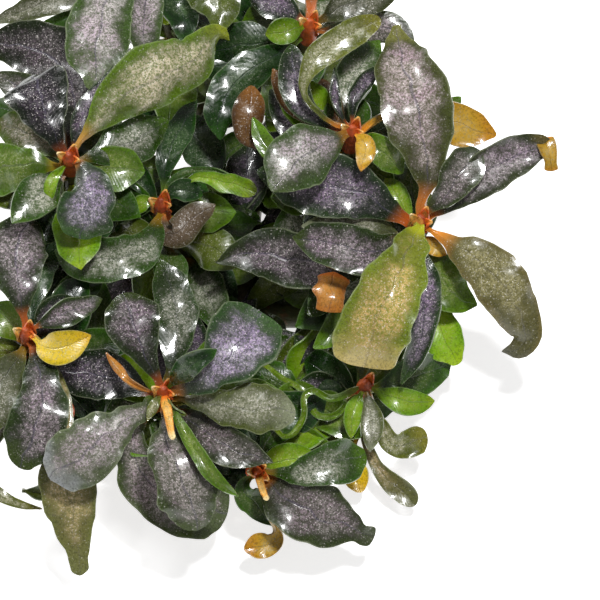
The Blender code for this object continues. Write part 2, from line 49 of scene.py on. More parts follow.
def drawn(x, y, height):
    tilt = math.radians(drawing["tilt"])
    up = y - drawing["middleY"]
    out = (height - up * math.sin(tilt)) / math.cos(tilt)
    return Vector((x - drawing["middleX"], up, out)) * mm


def planned(x, y, height):
    # a place on the ground plan, turned into the drawing
    return Matrix.Rotation(-math.radians(drawing["tilt"]), 3, "X") @ (Vector((x, y, height)) * mm)


def pickOnly(piece):
    bpy.ops.object.select_all(action="DESELECT")
    piece.select_set(True)
    bpy.context.view_layer.objects.active = piece


def applyModifiers(piece):
    pickOnly(piece)
    for modifier in list(piece.modifiers):
        bpy.ops.object.modifier_apply(modifier=modifier.name)


def standUp(piece):
    # from the drawing into the plant's own place
    pickOnly(piece)
    piece.rotation_euler = (math.radians(drawing["tilt"]), 0.0, 0.0)
    bpy.ops.object.transform_apply(location=True, rotation=True, scale=True)


# Shader helpers

def addNode(tree, kind, **settings):
    node = tree.nodes.new(kind)
    for key, value in settings.items():
        setattr(node, key, value)
    return node


def feed(tree, socket, source):
    # a socket takes another node's output or a plain value
    if isinstance(source, bpy.types.NodeSocket):
        tree.links.new(source, socket)
    else:
        socket.default_value = source


def calc(tree, operation, first, second=0.0, clamp=False):
    node = addNode(tree, "ShaderNodeMath", operation=operation, use_clamp=clamp)
    feed(tree, node.inputs[0], first)
    feed(tree, node.inputs[1], second)
    return node.outputs[0]


def ramp(tree, value, low, high, toLow=0.0, toHigh=1.0):
    node = addNode(tree, "ShaderNodeMapRange", interpolation_type="SMOOTHSTEP")
    for index, source in enumerate((value, low, high, toLow, toHigh)):
        feed(tree, node.inputs[index], source)
    return node.outputs[0]


def blendColour(tree, share, first, second, blend="MIX"):
    node = addNode(tree, "ShaderNodeMix", data_type="RGBA", clamp_factor=True, blend_type=blend)
    feed(tree, node.inputs["Factor"], share)
    feed(tree, node.inputs["A"], first)
    feed(tree, node.inputs["B"], second)
    return node.outputs["Result"]


def noise(tree, coordinates, scale, detail=3.0, roughness=0.6):
    node = addNode(tree, "ShaderNodeTexNoise")
    feed(tree, node.inputs["Vector"], coordinates)
    node.inputs["Scale"].default_value = scale
    node.inputs["Detail"].default_value = detail
    node.inputs["Roughness"].default_value = roughness
    return node.outputs["Fac"]


def dots(tree, coordinates, scale, size, kept):
    # round specks, some bright, most of them faint
    node = addNode(tree, "ShaderNodeTexVoronoi")
    feed(tree, node.inputs["Vector"], coordinates)
    node.inputs["Scale"].default_value = scale
    chance = addNode(tree, "ShaderNodeSeparateColor")
    tree.links.new(node.outputs["Color"], chance.inputs["Color"])
    dot = ramp(tree, node.outputs["Distance"], size, size * 0.55)
    return calc(tree, "MULTIPLY", dot, ramp(tree, chance.outputs[0], kept, 0.0))


# The leaf skin: one group, used by every leaf's material

leafSkin = {
    "mottleScale": 190.0,      # all scales are per metre
    "clothScale": 900.0,
    "grainScale": 2300.0,
    "speckScale": 1500.0,
    "speckSize": 0.26,
    "speckKept": 0.8,
    "fineSpecksAndGlintsScale": 3400.0,
    "fineSpecksAndGlintsSize": 0.42,
    "fineSpecksAndGlintsKept": 0.9,
    "speckColour": (0.82, 0.77, 0.72, 1.0),
    "edgeHighlightColour": (0.50, 0.54, 0.36, 1.0),
    "midribAndFoldShadeColour": (0.060, 0.052, 0.085, 1.0),
    "lilacSheenScale": 130.0,
    "lilacSheenTint": (0.98, 0.83, 1.02, 1.0),
}


def makeLeafSkin():
    group = bpy.data.node_groups.new("leafSkin", "ShaderNodeTree")
    for name in ("Ground", "Patch", "Margin", "Stalk", "Tip"):
        group.interface.new_socket(name, in_out="INPUT", socket_type="NodeSocketColor")
    for name in ("Patch Place", "Patch Reach", "Patch Strength", "Speckle", "Stalk End", "Edge", "Midrib", "Lilac Sheen"):
        group.interface.new_socket(name, in_out="INPUT", socket_type="NodeSocketFloat")
    group.interface.new_socket("Color", in_out="OUTPUT", socket_type="NodeSocketColor")
    for name in ("Roughness", "Height"):
        group.interface.new_socket(name, in_out="OUTPUT", socket_type="NodeSocketFloat")
    given = addNode(group, "NodeGroupInput").outputs
    result = addNode(group, "NodeGroupOutput").inputs
    where = addNode(group, "ShaderNodeTexCoord")
    strip = addNode(group, "ShaderNodeSeparateXYZ")
    group.links.new(where.outputs["UV"], strip.inputs[0])
    along, side = strip.outputs[0], strip.outputs[1]
    across = calc(group, "ABSOLUTE", calc(group, "MULTIPLY_ADD", side, 2.0))
    across.node.inputs[0].links[0].from_node.inputs[2].default_value = -1.0
    mottle = noise(group, where.outputs["Object"], leafSkin["mottleScale"])
    cloth = noise(group, where.outputs["Object"], leafSkin["clothScale"], 3.0, 0.6)
    grain = noise(group, where.outputs["Object"], leafSkin["grainScale"], 2.0, 0.7)
    wobble = calc(group, "SUBTRACT", mottle, 0.5)

    # the pale patch down the middle of the blade: mostly painted sheen, the silver-lilac shine of the wet blade, partly
    # the blade's own paler colour
    offPlace = calc(group, "DIVIDE", calc(group, "SUBTRACT", along, given["Patch Place"]), given["Patch Reach"])
    squared = calc(group, "ADD", calc(group, "MULTIPLY", offPlace, offPlace),
                   calc(group, "MULTIPLY", across, across))
    distance = calc(group, "ADD", calc(group, "SQRT", squared), calc(group, "MULTIPLY", wobble, 1.6))
    patch = calc(group, "MULTIPLY", ramp(group, distance, 1.0, 0.3), given["Patch Strength"])
    patch = calc(group, "MULTIPLY", patch, ramp(group, cloth, 0.30, 0.60, 0.4, 1.0))
    patch = calc(group, "MULTIPLY", patch, ramp(group, grain, 0.41, 0.63, 0.15, 1.0))
    # a lilac tint over the patch, in blotches: painted iridescent sheen
    lilacSheen = noise(group, where.outputs["Object"], leafSkin["lilacSheenScale"])
    lilacSheen = calc(group, "MULTIPLY", ramp(group, lilacSheen, 0.42, 0.58), given["Lilac Sheen"])
    pale = blendColour(group, lilacSheen, given["Patch"], leafSkin["lilacSheenTint"], "MULTIPLY")
    colour = blendColour(group, patch, given["Ground"], pale)

    margin = ramp(group, calc(group, "ADD", across, calc(group, "MULTIPLY", wobble, 0.5)), 0.62, 1.0, 0.0, 0.85)
    colour = blendColour(group, margin, colour, given["Margin"])
    tip = ramp(group, calc(group, "ADD", along, calc(group, "MULTIPLY", wobble, 0.3)), 0.84, 1.0, 0.0, 0.9)
    colour = blendColour(group, tip, colour, given["Tip"])
    shade = ramp(group, grain, 0.45, 0.65, 0.0, 0.4)
    colour = blendColour(group, shade, colour, (0.0, 0.0, 0.0, 1.0))
    # a dark line down the midrib: partly its own colour, partly painted shade in the fold
    midrib = ramp(group, across, 0.06, 0.015)
    shownRibAndFoldShade = calc(group, "MULTIPLY", midrib, calc(group, "MULTIPLY", mottle, given["Midrib"]))
    colour = blendColour(group, shownRibAndFoldShade, colour, leafSkin["midribAndFoldShadeColour"])
    stalk = ramp(group, along, calc(group, "MULTIPLY", given["Stalk End"], 1.9), calc(group, "MULTIPLY", given["Stalk End"], 0.7))
    colour = blendColour(group, stalk, colour, given["Stalk"])
    # a pale line along the margin: painted highlight on the wet edge
    edge = calc(group, "MULTIPLY", ramp(group, across, 0.94, 0.99), calc(group, "MULTIPLY", given["Edge"], mottle))
    colour = blendColour(group, edge, colour, leafSkin["edgeHighlightColour"])

    # white specks, partly the leaf's own starry speckling, partly painted glints of the wet surface; the specks and the
    # fine dots are brighter where the sheen is painted
    specks = dots(group, where.outputs["Object"], leafSkin["speckScale"], leafSkin["speckSize"], leafSkin["speckKept"])
    fineSpecksAndGlints = dots(group, where.outputs["Object"], leafSkin["fineSpecksAndGlintsScale"], leafSkin["fineSpecksAndGlintsSize"], leafSkin["fineSpecksAndGlintsKept"])
    fineSpecksAndGlints = calc(group, "MULTIPLY", fineSpecksAndGlints, calc(group, "MULTIPLY", calc(group, "ADD", patch, 0.08), 1.1))
    specks = calc(group, "MULTIPLY", specks, calc(group, "ADD", calc(group, "MULTIPLY", patch, 0.5), 0.35))
    shown = calc(group, "MULTIPLY", calc(group, "MAXIMUM", specks, fineSpecksAndGlints), given["Speckle"], clamp=True)
    colour = blendColour(group, shown, colour, leafSkin["speckColour"])
    group.links.new(colour, result["Color"])

    group.links.new(ramp(group, cloth, 0.3, 0.7, 0.16, 0.36), result["Roughness"])
    veins = calc(group, "SINE", calc(group, "MULTIPLY", calc(group, "SUBTRACT", along, calc(group, "MULTIPLY", across, 0.16)), 150.0))
    height = calc(group, "MULTIPLY", cloth, 0.35)
    height = calc(group, "ADD", height, calc(group, "MULTIPLY", veins, 0.03))
    height = calc(group, "ADD", height, calc(group, "MULTIPLY", shown, 0.5))
    height = calc(group, "SUBTRACT", height, calc(group, "MULTIPLY", midrib, 0.9))
    group.links.new(height, result["Height"])
    return group


skinGroup = makeLeafSkin()

# Each skin's colours: between the patch and the margin, in the patch (mostly painted sheen, partly the blade's own
# paler colour), at the margin, on the stalk and at the tip
skins = {
    "plumSilver": dict(ground=(0.024, 0.034, 0.012), patch=(0.590, 0.484, 0.531), margin=(0.026, 0.055, 0.005),
                       stalk=(0.42, 0.10, 0.015), tip=(0.05, 0.08, 0.01), place=0.62, reach=0.44, midrib=0.9, lilacSheen=0.8),
    "plumOlive": dict(ground=(0.047, 0.051, 0.015), patch=(0.684, 0.555, 0.555), margin=(0.050, 0.062, 0.010),
                      stalk=(0.45, 0.14, 0.02), tip=(0.17, 0.17, 0.03), place=0.56, reach=0.5, midrib=0.9, lilacSheen=0.8),
    "plumDark": dict(ground=(0.010, 0.017, 0.008), patch=(0.283, 0.224, 0.295), margin=(0.012, 0.032, 0.004),
                     stalk=(0.36, 0.08, 0.012), tip=(0.02, 0.045, 0.006), place=0.55, reach=0.40, midrib=0.9, lilacSheen=0.8),
    "plumGrey": dict(ground=(0.034, 0.041, 0.019), patch=(0.448, 0.389, 0.378), margin=(0.035, 0.055, 0.010),
                     stalk=(0.34, 0.11, 0.015), tip=(0.06, 0.08, 0.03), place=0.6, reach=0.48, midrib=0.9, lilacSheen=0.8),
    "plumGold": dict(ground=(0.030, 0.036, 0.017), patch=(0.600, 0.510, 0.550), margin=(0.030, 0.040, 0.012),
                     stalk=(0.45, 0.15, 0.02), tip=(0.16, 0.12, 0.03), place=0.6, reach=0.40, midrib=0.9, lilacSheen=0.8),
    "silver": dict(ground=(0.047, 0.065, 0.025), patch=(0.755, 0.684, 0.673), margin=(0.030, 0.066, 0.006),
                   stalk=(0.26, 0.12, 0.015), tip=(0.07, 0.10, 0.03), place=0.60, reach=0.46, midrib=0.9, lilacSheen=0.8),
    "silverPale": dict(ground=(0.085, 0.102, 0.051), patch=(0.779, 0.708, 0.684), margin=(0.09, 0.12, 0.05),
                       stalk=(0.05, 0.10, 0.01), tip=(0.36, 0.37, 0.38), place=0.55, reach=0.48, midrib=0.9, lilacSheen=0.8),
    "lilac": dict(ground=(0.034, 0.047, 0.027), patch=(0.590, 0.507, 0.673), margin=(0.018, 0.055, 0.008),
                  stalk=(0.26, 0.10, 0.02), tip=(0.04, 0.09, 0.02), place=0.64, reach=0.40, midrib=0.9, lilacSheen=0.8),
    "oliveRose": dict(ground=(0.056, 0.085, 0.008), patch=(0.732, 0.625, 0.448), margin=(0.070, 0.130, 0.004),
                      stalk=(0.30, 0.15, 0.02), tip=(0.20, 0.23, 0.015), place=0.55, reach=0.42),
    "olive": dict(ground=(0.081, 0.098, 0.012), patch=(0.590, 0.566, 0.354), margin=(0.12, 0.14, 0.008),
                  stalk=(0.50, 0.17, 0.02), tip=(0.20, 0.19, 0.02), place=0.62, reach=0.42),
    "roundOlive": dict(ground=(0.070, 0.100, 0.008), patch=(0.20, 0.24, 0.05), margin=(0.05, 0.085, 0.004),
                       stalk=(0.08, 0.10, 0.006), tip=(0.12, 0.17, 0.008), place=0.6, reach=0.38, speckle=0.5),
    "oliveGrey": dict(ground=(0.068, 0.081, 0.031), patch=(0.496, 0.484, 0.366), margin=(0.07, 0.09, 0.014),
                      stalk=(0.26, 0.15, 0.015), tip=(0.22, 0.24, 0.15), place=0.6, reach=0.48),
    "oliveSilver": dict(ground=(0.025, 0.056, 0.005), patch=(0.614, 0.614, 0.496), margin=(0.026, 0.076, 0.003),
                        stalk=(0.22, 0.13, 0.010), tip=(0.06, 0.13, 0.004), place=0.55, reach=0.34),
    "deepGreen": dict(ground=(0.006, 0.026, 0.003), patch=(0.08, 0.14, 0.05), margin=(0.013, 0.055, 0.003),
                      stalk=(0.07, 0.12, 0.006), tip=(0.02, 0.08, 0.003), place=0.5, reach=0.30, speckle=0.3),
    "shadeGreen": dict(ground=(0.020, 0.056, 0.004), patch=(0.12, 0.18, 0.04), margin=(0.035, 0.105, 0.003),
                       stalk=(0.16, 0.20, 0.010), tip=(0.05, 0.14, 0.003), place=0.5, reach=0.35, speckle=0.3),
    "freshGreen": dict(ground=(0.060, 0.120, 0.005), patch=(0.28, 0.36, 0.08), margin=(0.085, 0.18, 0.004),
                       stalk=(0.40, 0.28, 0.02), tip=(0.10, 0.22, 0.004), place=0.5, reach=0.42, speckle=0.3),
    "lime": dict(ground=(0.130, 0.25, 0.004), patch=(0.34, 0.46, 0.04), margin=(0.10, 0.22, 0.003),
                 stalk=(0.26, 0.32, 0.01), tip=(0.24, 0.34, 0.006), place=0.6, reach=0.4, speckle=0.3),
    "gold": dict(ground=(0.50, 0.29, 0.020), patch=(0.72, 0.52, 0.16), margin=(0.42, 0.22, 0.010),
                 stalk=(0.75, 0.27, 0.02), tip=(0.50, 0.22, 0.012), place=0.6, reach=0.4, speckle=0.3),
    "yellow": dict(ground=(0.62, 0.42, 0.012), patch=(0.78, 0.62, 0.12), margin=(0.42, 0.32, 0.008),
                   stalk=(0.75, 0.30, 0.04), tip=(0.60, 0.36, 0.012), place=0.55, reach=0.4, speckle=0.4),
    "goldGreen": dict(ground=(0.132, 0.153, 0.012), patch=(0.779, 0.520, 0.200), margin=(0.12, 0.17, 0.008),
                      stalk=(0.30, 0.34, 0.015), tip=(0.46, 0.36, 0.12), place=0.66, reach=0.48),
    "bronze": dict(ground=(0.089, 0.083, 0.024), patch=(0.472, 0.425, 0.201), margin=(0.16, 0.13, 0.040),
                   stalk=(0.62, 0.22, 0.02), tip=(0.12, 0.12, 0.09), place=0.42, reach=0.4, stalkEnd=0.13),
    "tan": dict(ground=(0.42, 0.17, 0.030), patch=(0.55, 0.28, 0.06), margin=(0.30, 0.10, 0.015),
                stalk=(0.45, 0.12, 0.02), tip=(0.36, 0.13, 0.02), place=0.6, reach=0.45, speckle=0.3),
    "brown": dict(ground=(0.100, 0.044, 0.012), patch=(0.26, 0.14, 0.05), margin=(0.05, 0.025, 0.008),
                  stalk=(0.20, 0.11, 0.02), tip=(0.20, 0.08, 0.012), place=0.6, reach=0.45),
    "bronzeOlive": dict(ground=(0.106, 0.102, 0.029), patch=(0.614, 0.472, 0.236), margin=(0.10, 0.11, 0.025),
                        stalk=(0.30, 0.11, 0.02), tip=(0.12, 0.13, 0.04), place=0.55, reach=0.36),
    "sheath": dict(ground=(0.72, 0.13, 0.015), patch=(0.80, 0.28, 0.04), margin=(0.60, 0.09, 0.012),
                   stalk=(0.50, 0.05, 0.010), tip=(0.78, 0.42, 0.10), place=0.6, reach=0.4, speckle=0.0, edge=0.1),
    "sheathPale": dict(ground=(0.80, 0.42, 0.08), patch=(0.86, 0.62, 0.26), margin=(0.72, 0.28, 0.04),
                       stalk=(0.68, 0.16, 0.015), tip=(0.88, 0.70, 0.36), place=0.6, reach=0.4, speckle=0.0, edge=0.1),
    "underside": dict(ground=(0.080, 0.055, 0.028), patch=(0.22, 0.16, 0.11), margin=(0.06, 0.05, 0.018),
                      stalk=(0.40, 0.13, 0.02), tip=(0.09, 0.06, 0.02), place=0.5, reach=0.5),
}

gloss = {"coat": 0.3, "coatRoughness": 0.05, "specular": 0.35, "bumpDepth": 0.00022, "bumpStrength": 0.55}


def makeSkin(name, shade=1.0):
    colours = skins[name]
    material = bpy.data.materials.new(name)
    material.use_nodes = True
    tree = material.node_tree
    shader = tree.nodes["Principled BSDF"]
    skin = addNode(tree, "ShaderNodeGroup", node_tree=skinGroup)
    for socket, key in (("Ground", "ground"), ("Patch", "patch"), ("Margin", "margin"), ("Stalk", "stalk"), ("Tip", "tip")):
        # shade scales all of a skin's colours for one leaf: partly the leaf's own darker or paler tone, partly painted
        # light and shade for how that leaf faces the lamps
        skin.inputs[socket].default_value = [value * shade for value in colours[key]] + [1.0]
    skin.inputs["Patch Place"].default_value = colours["place"]
    skin.inputs["Patch Reach"].default_value = colours["reach"]
    skin.inputs["Patch Strength"].default_value = colours.get("strength", 1.0)
    skin.inputs["Speckle"].default_value = colours.get("speckle", 0.9)
    skin.inputs["Stalk End"].default_value = colours.get("stalkEnd", 0.1)
    # how strong the painted edge highlight is
    skin.inputs["Edge"].default_value = colours.get("edge", 0.35)
    skin.inputs["Midrib"].default_value = colours.get("midrib", 0.3)
    skin.inputs["Lilac Sheen"].default_value = colours.get("lilacSheen", 0.0)
    bump = addNode(tree, "ShaderNodeBump")
    bump.inputs["Strength"].default_value = gloss["bumpStrength"]
    bump.inputs["Distance"].default_value = gloss["bumpDepth"]
    tree.links.new(skin.outputs["Color"], shader.inputs["Base Color"])
    tree.links.new(skin.outputs["Roughness"], shader.inputs["Roughness"])
    tree.links.new(skin.outputs["Height"], bump.inputs["Height"])
    tree.links.new(bump.outputs["Normal"], shader.inputs["Normal"])
    shader.inputs["Coat Weight"].default_value = gloss["coat"]
    shader.inputs["Coat Roughness"].default_value = gloss["coatRoughness"]
    shader.inputs["Specular IOR Level"].default_value = gloss["specular"]
    return material


materials = {}


# lit and shaded copies of one skin, one for each shade
def skinFor(name, shade=1.0):
    if (name, shade) not in materials:
        materials[name, shade] = makeSkin(name, shade)
    return materials[name, shade]


# The stems: dark bark below, orange where the leaves stand

bark = {"main": (0.075, 0.050, 0.022, 1.0), "patch": (0.075, 0.095, 0.020, 1.0), "streak": (0.20, 0.055, 0.018, 1.0)}
crownBark = {"main": (0.62, 0.110, 0.015, 1.0), "patch": (0.40, 0.060, 0.015, 1.0), "streak": (0.72, 0.30, 0.05, 1.0)}
barkScale = 900.0
barkPatchScale = 160.0


def makeStemSkin(name, skin):
    material = bpy.data.materials.new(name)
    material.use_nodes = True
    tree = material.node_tree
    shader = tree.nodes["Principled BSDF"]
    where = addNode(tree, "ShaderNodeTexCoord").outputs["Object"]
    patches = noise(tree, where, barkPatchScale)
    grain = noise(tree, where, barkScale, 5.0, 0.7)
    colour = blendColour(tree, ramp(tree, patches, 0.38, 0.62), skin["main"], skin["patch"])
    colour = blendColour(tree, ramp(tree, patches, 0.6, 0.7), colour, skin["streak"])
    colour = blendColour(tree, ramp(tree, grain, 0.35, 0.7, 0.45, 0.0), colour, (0.02, 0.01, 0.008, 1.0))
    tree.links.new(colour, shader.inputs["Base Color"])
    tree.links.new(ramp(tree, grain, 0.3, 0.7, 0.3, 0.5), shader.inputs["Roughness"])
    bump = addNode(tree, "ShaderNodeBump")
    bump.inputs["Distance"].default_value = 0.0003
    tree.links.new(grain, bump.inputs["Height"])
    tree.links.new(bump.outputs["Normal"], shader.inputs["Normal"])
    return material


stemMaterials = [makeStemSkin("bark", bark), makeStemSkin("crownBark", crownBark)]
print("skins ready:", len(skins))


# The blank leaves: a flat strip, 1 long and 2 wide, narrowed row by row to its outline. Each
# outline gives where the stalk ends, where the blade is widest, how slowly it widens, how full
# its tip is and how wide its end stays.
blank = {"rows": 22, "columns": 8, "coarseRows": 10, "coarseColumns": 4, "stalkWidth": 0.13, "tipRounding": 0.75,
         "crease": 0.65, "endBulge": 0.06}

outlines = {
    "lance": (0.07, 0.53, 1.35, 1.35, 0.02),
    "oval": (0.10, 0.54, 1.2, 1.8, 0.03),
    "strap": (0.08, 0.60, 1.2, 2.1, 0.06),
    "blunt": (0.08, 0.74, 1.45, 3.0, 0.36),
    "square": (0.08, 0.84, 1.35, 4.0, 0.62),
    "kite": (0.06, 0.56, 1.5, 1.2, 0.19),
    "shield": (0.05, 0.50, 0.8, 1.6, 0.42),
    "wedge": (0.05, 0.86, 1.05, 6.0, 0.84),
    "tongue": (0.42, 0.71, 0.8, 0.97, 0.34),
    "spoon": (0.40, 0.72, 0.85, 2.0, 0.15),
    "paddle": (0.34, 0.74, 1.0, 4.0, 0.40),
    "ladle": (0.60, 0.84, 0.7, 2.4, 0.25),
    "fishtail": (0.14, 0.93, 1.9, 5.0, 0.75),
    "stalked": (0.26, 0.62, 0.9, 1.7, 0.03),
    "stalk": (0.02, 0.10, 1.0, 6.0, 0.70),
    "flap": (0.0, 0.16, 0.6, 4.0, 0.75),
    "sheath": (0.0, 0.30, 0.5, 1.7, 0.05),
}

blanks = {}


def widthShare(place, outline):
    stalkEnd, widest, slowness, fullness, endShare = outlines[outline]
    if place <= stalkEnd:
        return blank["stalkWidth"]
    if place < widest:
        rise = math.sin((place - stalkEnd) / (widest - stalkEnd) * math.pi / 2.0)
        return blank["stalkWidth"] + (1.0 - blank["stalkWidth"]) * rise ** slowness
    fall = min(1.0, (place - widest) / (1.0 - widest))
    return max(endShare, (1.0 - fall ** fullness) ** blank["tipRounding"])


def selectWhere(mesh, test):
    mesh.select_mode = {"VERT"}
    for vert in mesh.verts:
        vert.select = test(vert.co)
    mesh.select_flush_mode()


def makeBlank(outline, domed, coarse):
    rows = blank["coarseRows"] if coarse else blank["rows"]
    columns = blank["coarseColumns"] if coarse else blank["columns"]
    bpy.ops.mesh.primitive_grid_add(x_subdivisions=rows, y_subdivisions=columns, size=2.0, calc_uvs=True)
    strip = bpy.context.object
    strip.name = "blank_" + outline
    strip.scale = (0.5, 1.0, 1.0)
    strip.location = (0.5, 0.0, 0.0)
    bpy.ops.object.transform_apply(location=True, rotation=True, scale=True)
    stalks = strip.vertex_groups.new(name="stalk")
    bpy.ops.object.mode_set(mode="EDIT")
    bpy.ops.mesh.select_mode(type="VERT")
    mesh = bmesh.from_edit_mesh(strip.data)
    columnStep = 2.0 / columns
    for column in range(columns + 1):
        side = abs(column * columnStep - 1.0)
        lift = blank["crease"] * side + (1.0 - blank["crease"]) * side * side
        selectWhere(mesh, lambda co: abs(co.y - (column * columnStep - 1.0)) < columnStep / 4.0)
        bpy.ops.transform.translate(value=(0.0, 0.0, -lift if domed else lift))
    for row in range(rows + 1):
        place = row / rows
        share = widthShare(place, outline)
        selectWhere(mesh, lambda co: abs(co.x - place) < 0.25 / rows)
        bpy.ops.transform.resize(value=(1.0, share, share), center_override=(place, 0.0, 0.0))
    endShare = outlines[outline][4]
    bulge = blank["endBulge"] * endShare
    for column in range(columns + 1):
        side = column * columnStep - 1.0
        selectWhere(mesh, lambda co: co.x > 0.99 and abs(co.y - side * endShare) < endShare * columnStep / 4.0)
        bpy.ops.transform.translate(value=(bulge * (1.0 - side * side), 0.0, 0.0))
    selectWhere(mesh, lambda co: co.x <= outlines[outline][0] + 0.01)
    bmesh.update_edit_mesh(strip.data)
    bpy.ops.object.vertex_group_assign()
    bpy.ops.object.mode_set(mode="OBJECT")
    bpy.ops.object.shade_smooth()
    margins = strip.vertex_groups.new(name="margin")
    for vert in strip.data.vertices:
        margins.add([vert.index], min(1.0, abs(vert.co.y) + 0.15), "REPLACE")
    strip.hide_render = True
    return strip


def blankFor(*kind):
    if kind not in blanks:
        blanks[kind] = makeBlank(*kind)
    return blanks[kind]


# One leaf: a blank stretched to its size, bent along its midrib, ruffled and given its thickness

leafMake = {"thickness": 0.34, "stalkThickness": 1.0, "sunk": 0.6, "sharpRim": 50.0,
            "ruffle": 1.3, "ruffleScale": 0.007,        # how far the margins wave in and out
            "wobble": 0.08, "wobbleScale": 0.005}       # how far the outline strays, as a share of its width


def makeClouds(name, scale):
    clouds = bpy.data.textures.new(name, "CLOUDS")
    clouds.noise_scale = scale
    clouds.noise_depth = 1
    return clouds


ruffleTexture = makeClouds("ruffle", leafMake["ruffleScale"])
wobbleTexture = makeClouds("wobble", leafMake["wobbleScale"])
bpy.ops.object.empty_add()
cloudPlace = bpy.context.object      # moved for each leaf, so that no two stray alike
cloudPlace.name = "cloudPlace"


def makeMidrib(points, roll):
    bpy.ops.curve.primitive_bezier_curve_add()
    midrib = bpy.context.object
    midrib.location = (0.0, 0.0, 0.0)
    midrib.data.dimensions = "3D"
    midrib.data.twist_mode = "Z_UP"
    midrib.data.resolution_u = 16
    spline = midrib.data.splines[0]
    spline.bezier_points.add(len(points) - 2)
    for index, point in enumerate(points):
        knot = spline.bezier_points[index]
        knot.co = point
        knot.handle_left_type = "AUTO"
        knot.handle_right_type = "AUTO"
        knot.tilt = math.radians(roll[0] + (roll[1] - roll[0]) * index / (len(points) - 1))
    return midrib


def makeLeaf(name, points, leaf):
    cup = leaf.get("cup", 12.0)
    strip = blankFor(leaf.get("outline", "oval"), cup < 0.0, leaf.get("coarse", False))
    piece = strip.copy()
    piece.data = strip.data.copy()
    piece.name = name
    piece.hide_render = False
    bpy.context.collection.objects.link(piece)
    midrib = makeMidrib(points, leaf.get("roll", (0.0, 0.0)))
    half = leaf["width"] / 2.0 * mm
    pickOnly(piece)
    piece.scale = (midrib.data.splines[0].calc_length(), half, half * math.tan(math.radians(max(abs(cup), 1.0))))
    bpy.ops.object.transform_apply(location=True, rotation=True, scale=True)
    smooth = piece.modifiers.new("smooth", "SUBSURF")
    smooth.levels = 1
    smooth.render_levels = 1
    cloudPlace.location = Vector((0.31, 0.17, 0.23)) * len(bpy.data.meshes)
    bpy.context.view_layer.update()
    wobble = piece.modifiers.new("wobble", "DISPLACE")
    wobble.texture = wobbleTexture
    wobble.texture_coords = "OBJECT"
    wobble.texture_coords_object = cloudPlace
    wobble.direction = "Y"
    wobble.strength = leaf.get("wobble", leafMake["wobble"]) * leaf["width"] * 2.0 * mm
    bend = piece.modifiers.new("midrib", "CURVE")
    bend.object = midrib
    bend.deform_axis = "POS_X"
    ruffle = piece.modifiers.new("ruffle", "DISPLACE")
    ruffle.texture = ruffleTexture
    ruffle.texture_coords = "OBJECT"
    ruffle.texture_coords_object = cloudPlace
    ruffle.strength = leaf.get("ruffle", leafMake["ruffle"]) * 2.0 * mm
    ruffle.vertex_group = "margin"
    wall = piece.modifiers.new("thickness", "SOLIDIFY")
    wall.thickness = leafMake["stalkThickness"] * mm
    wall.offset = -1.0
    wall.vertex_group = "stalk"
    wall.thickness_vertex_group = leafMake["thickness"] / leafMake["stalkThickness"]
    wall.material_offset = 1
    piece.data.materials.append(skinFor(leaf["skin"], leaf.get("shade", 1.0)))
    piece.data.materials.append(skinFor(leaf.get("under", "underside")))
    applyModifiers(piece)
    bpy.ops.object.shade_smooth_by_angle(angle=math.radians(leafMake["sharpRim"]))
    bpy.data.objects.remove(midrib)
    return piece


def leafPoints(crown, leaf):
    # from the heart of the crown, out through the leaf's own route
    route = [drawn(*point) for point in leaf["route"]]
    if leaf.get("apart"):
        return route
    top = drawn(*crown["top"])
    axis = (top - planned(*crown["stem"][-1])).normalized()
    centre = top - axis * leaf.get("level", 0) * 1.8 * mm
    outwards = route[0] - centre
    outwards -= axis * outwards.dot(axis) * 0.75
    return [centre + outwards.normalized() * leafMake["sunk"] * mm] + route


# The older leaves lower down each stem, which fill the clump

innerLeaves = {
    "seed": 7,
    "perCrown": 22,
    "highest": 7.0,            # below the crown, along the stem
    "spacing": 1.4,
    "turn": 137.5,
    "length": (12.0, 25.0),
    "width": (6.5, 10.5),
    "skins": ["deepGreen", "shadeGreen", "freshGreen", "oliveSilver", "plumDark", "shadeGreen", "freshGreen", "roundOlive",
              "deepGreen", "lime"],
    "outlines": ["stalked", "lance", "stalked", "strap"],
    # the clump's edge in the drawing, which their tips stay inside
    "edge": [(-8, 27), (12, 25), (24, 19), (42, 18), (56, 16), (68, 20), (76, 32), (84, 42), (88, 54), (92, 66),
             (87, 80), (85, 96), (80, 108), (76, 118), (60, 134), (20, 140), (-7, 120)],
}


def insideEdge(x, y):
    edge = innerLeaves["edge"]
    crossings = 0
    for (x0, y0), (x1, y1) in zip(edge, edge[1:] + edge[:1]):
        if (y0 > y) != (y1 > y) and x < x0 + (y - y0) / (y1 - y0) * (x1 - x0):
            crossings += 1
    return crossings % 2 == 1


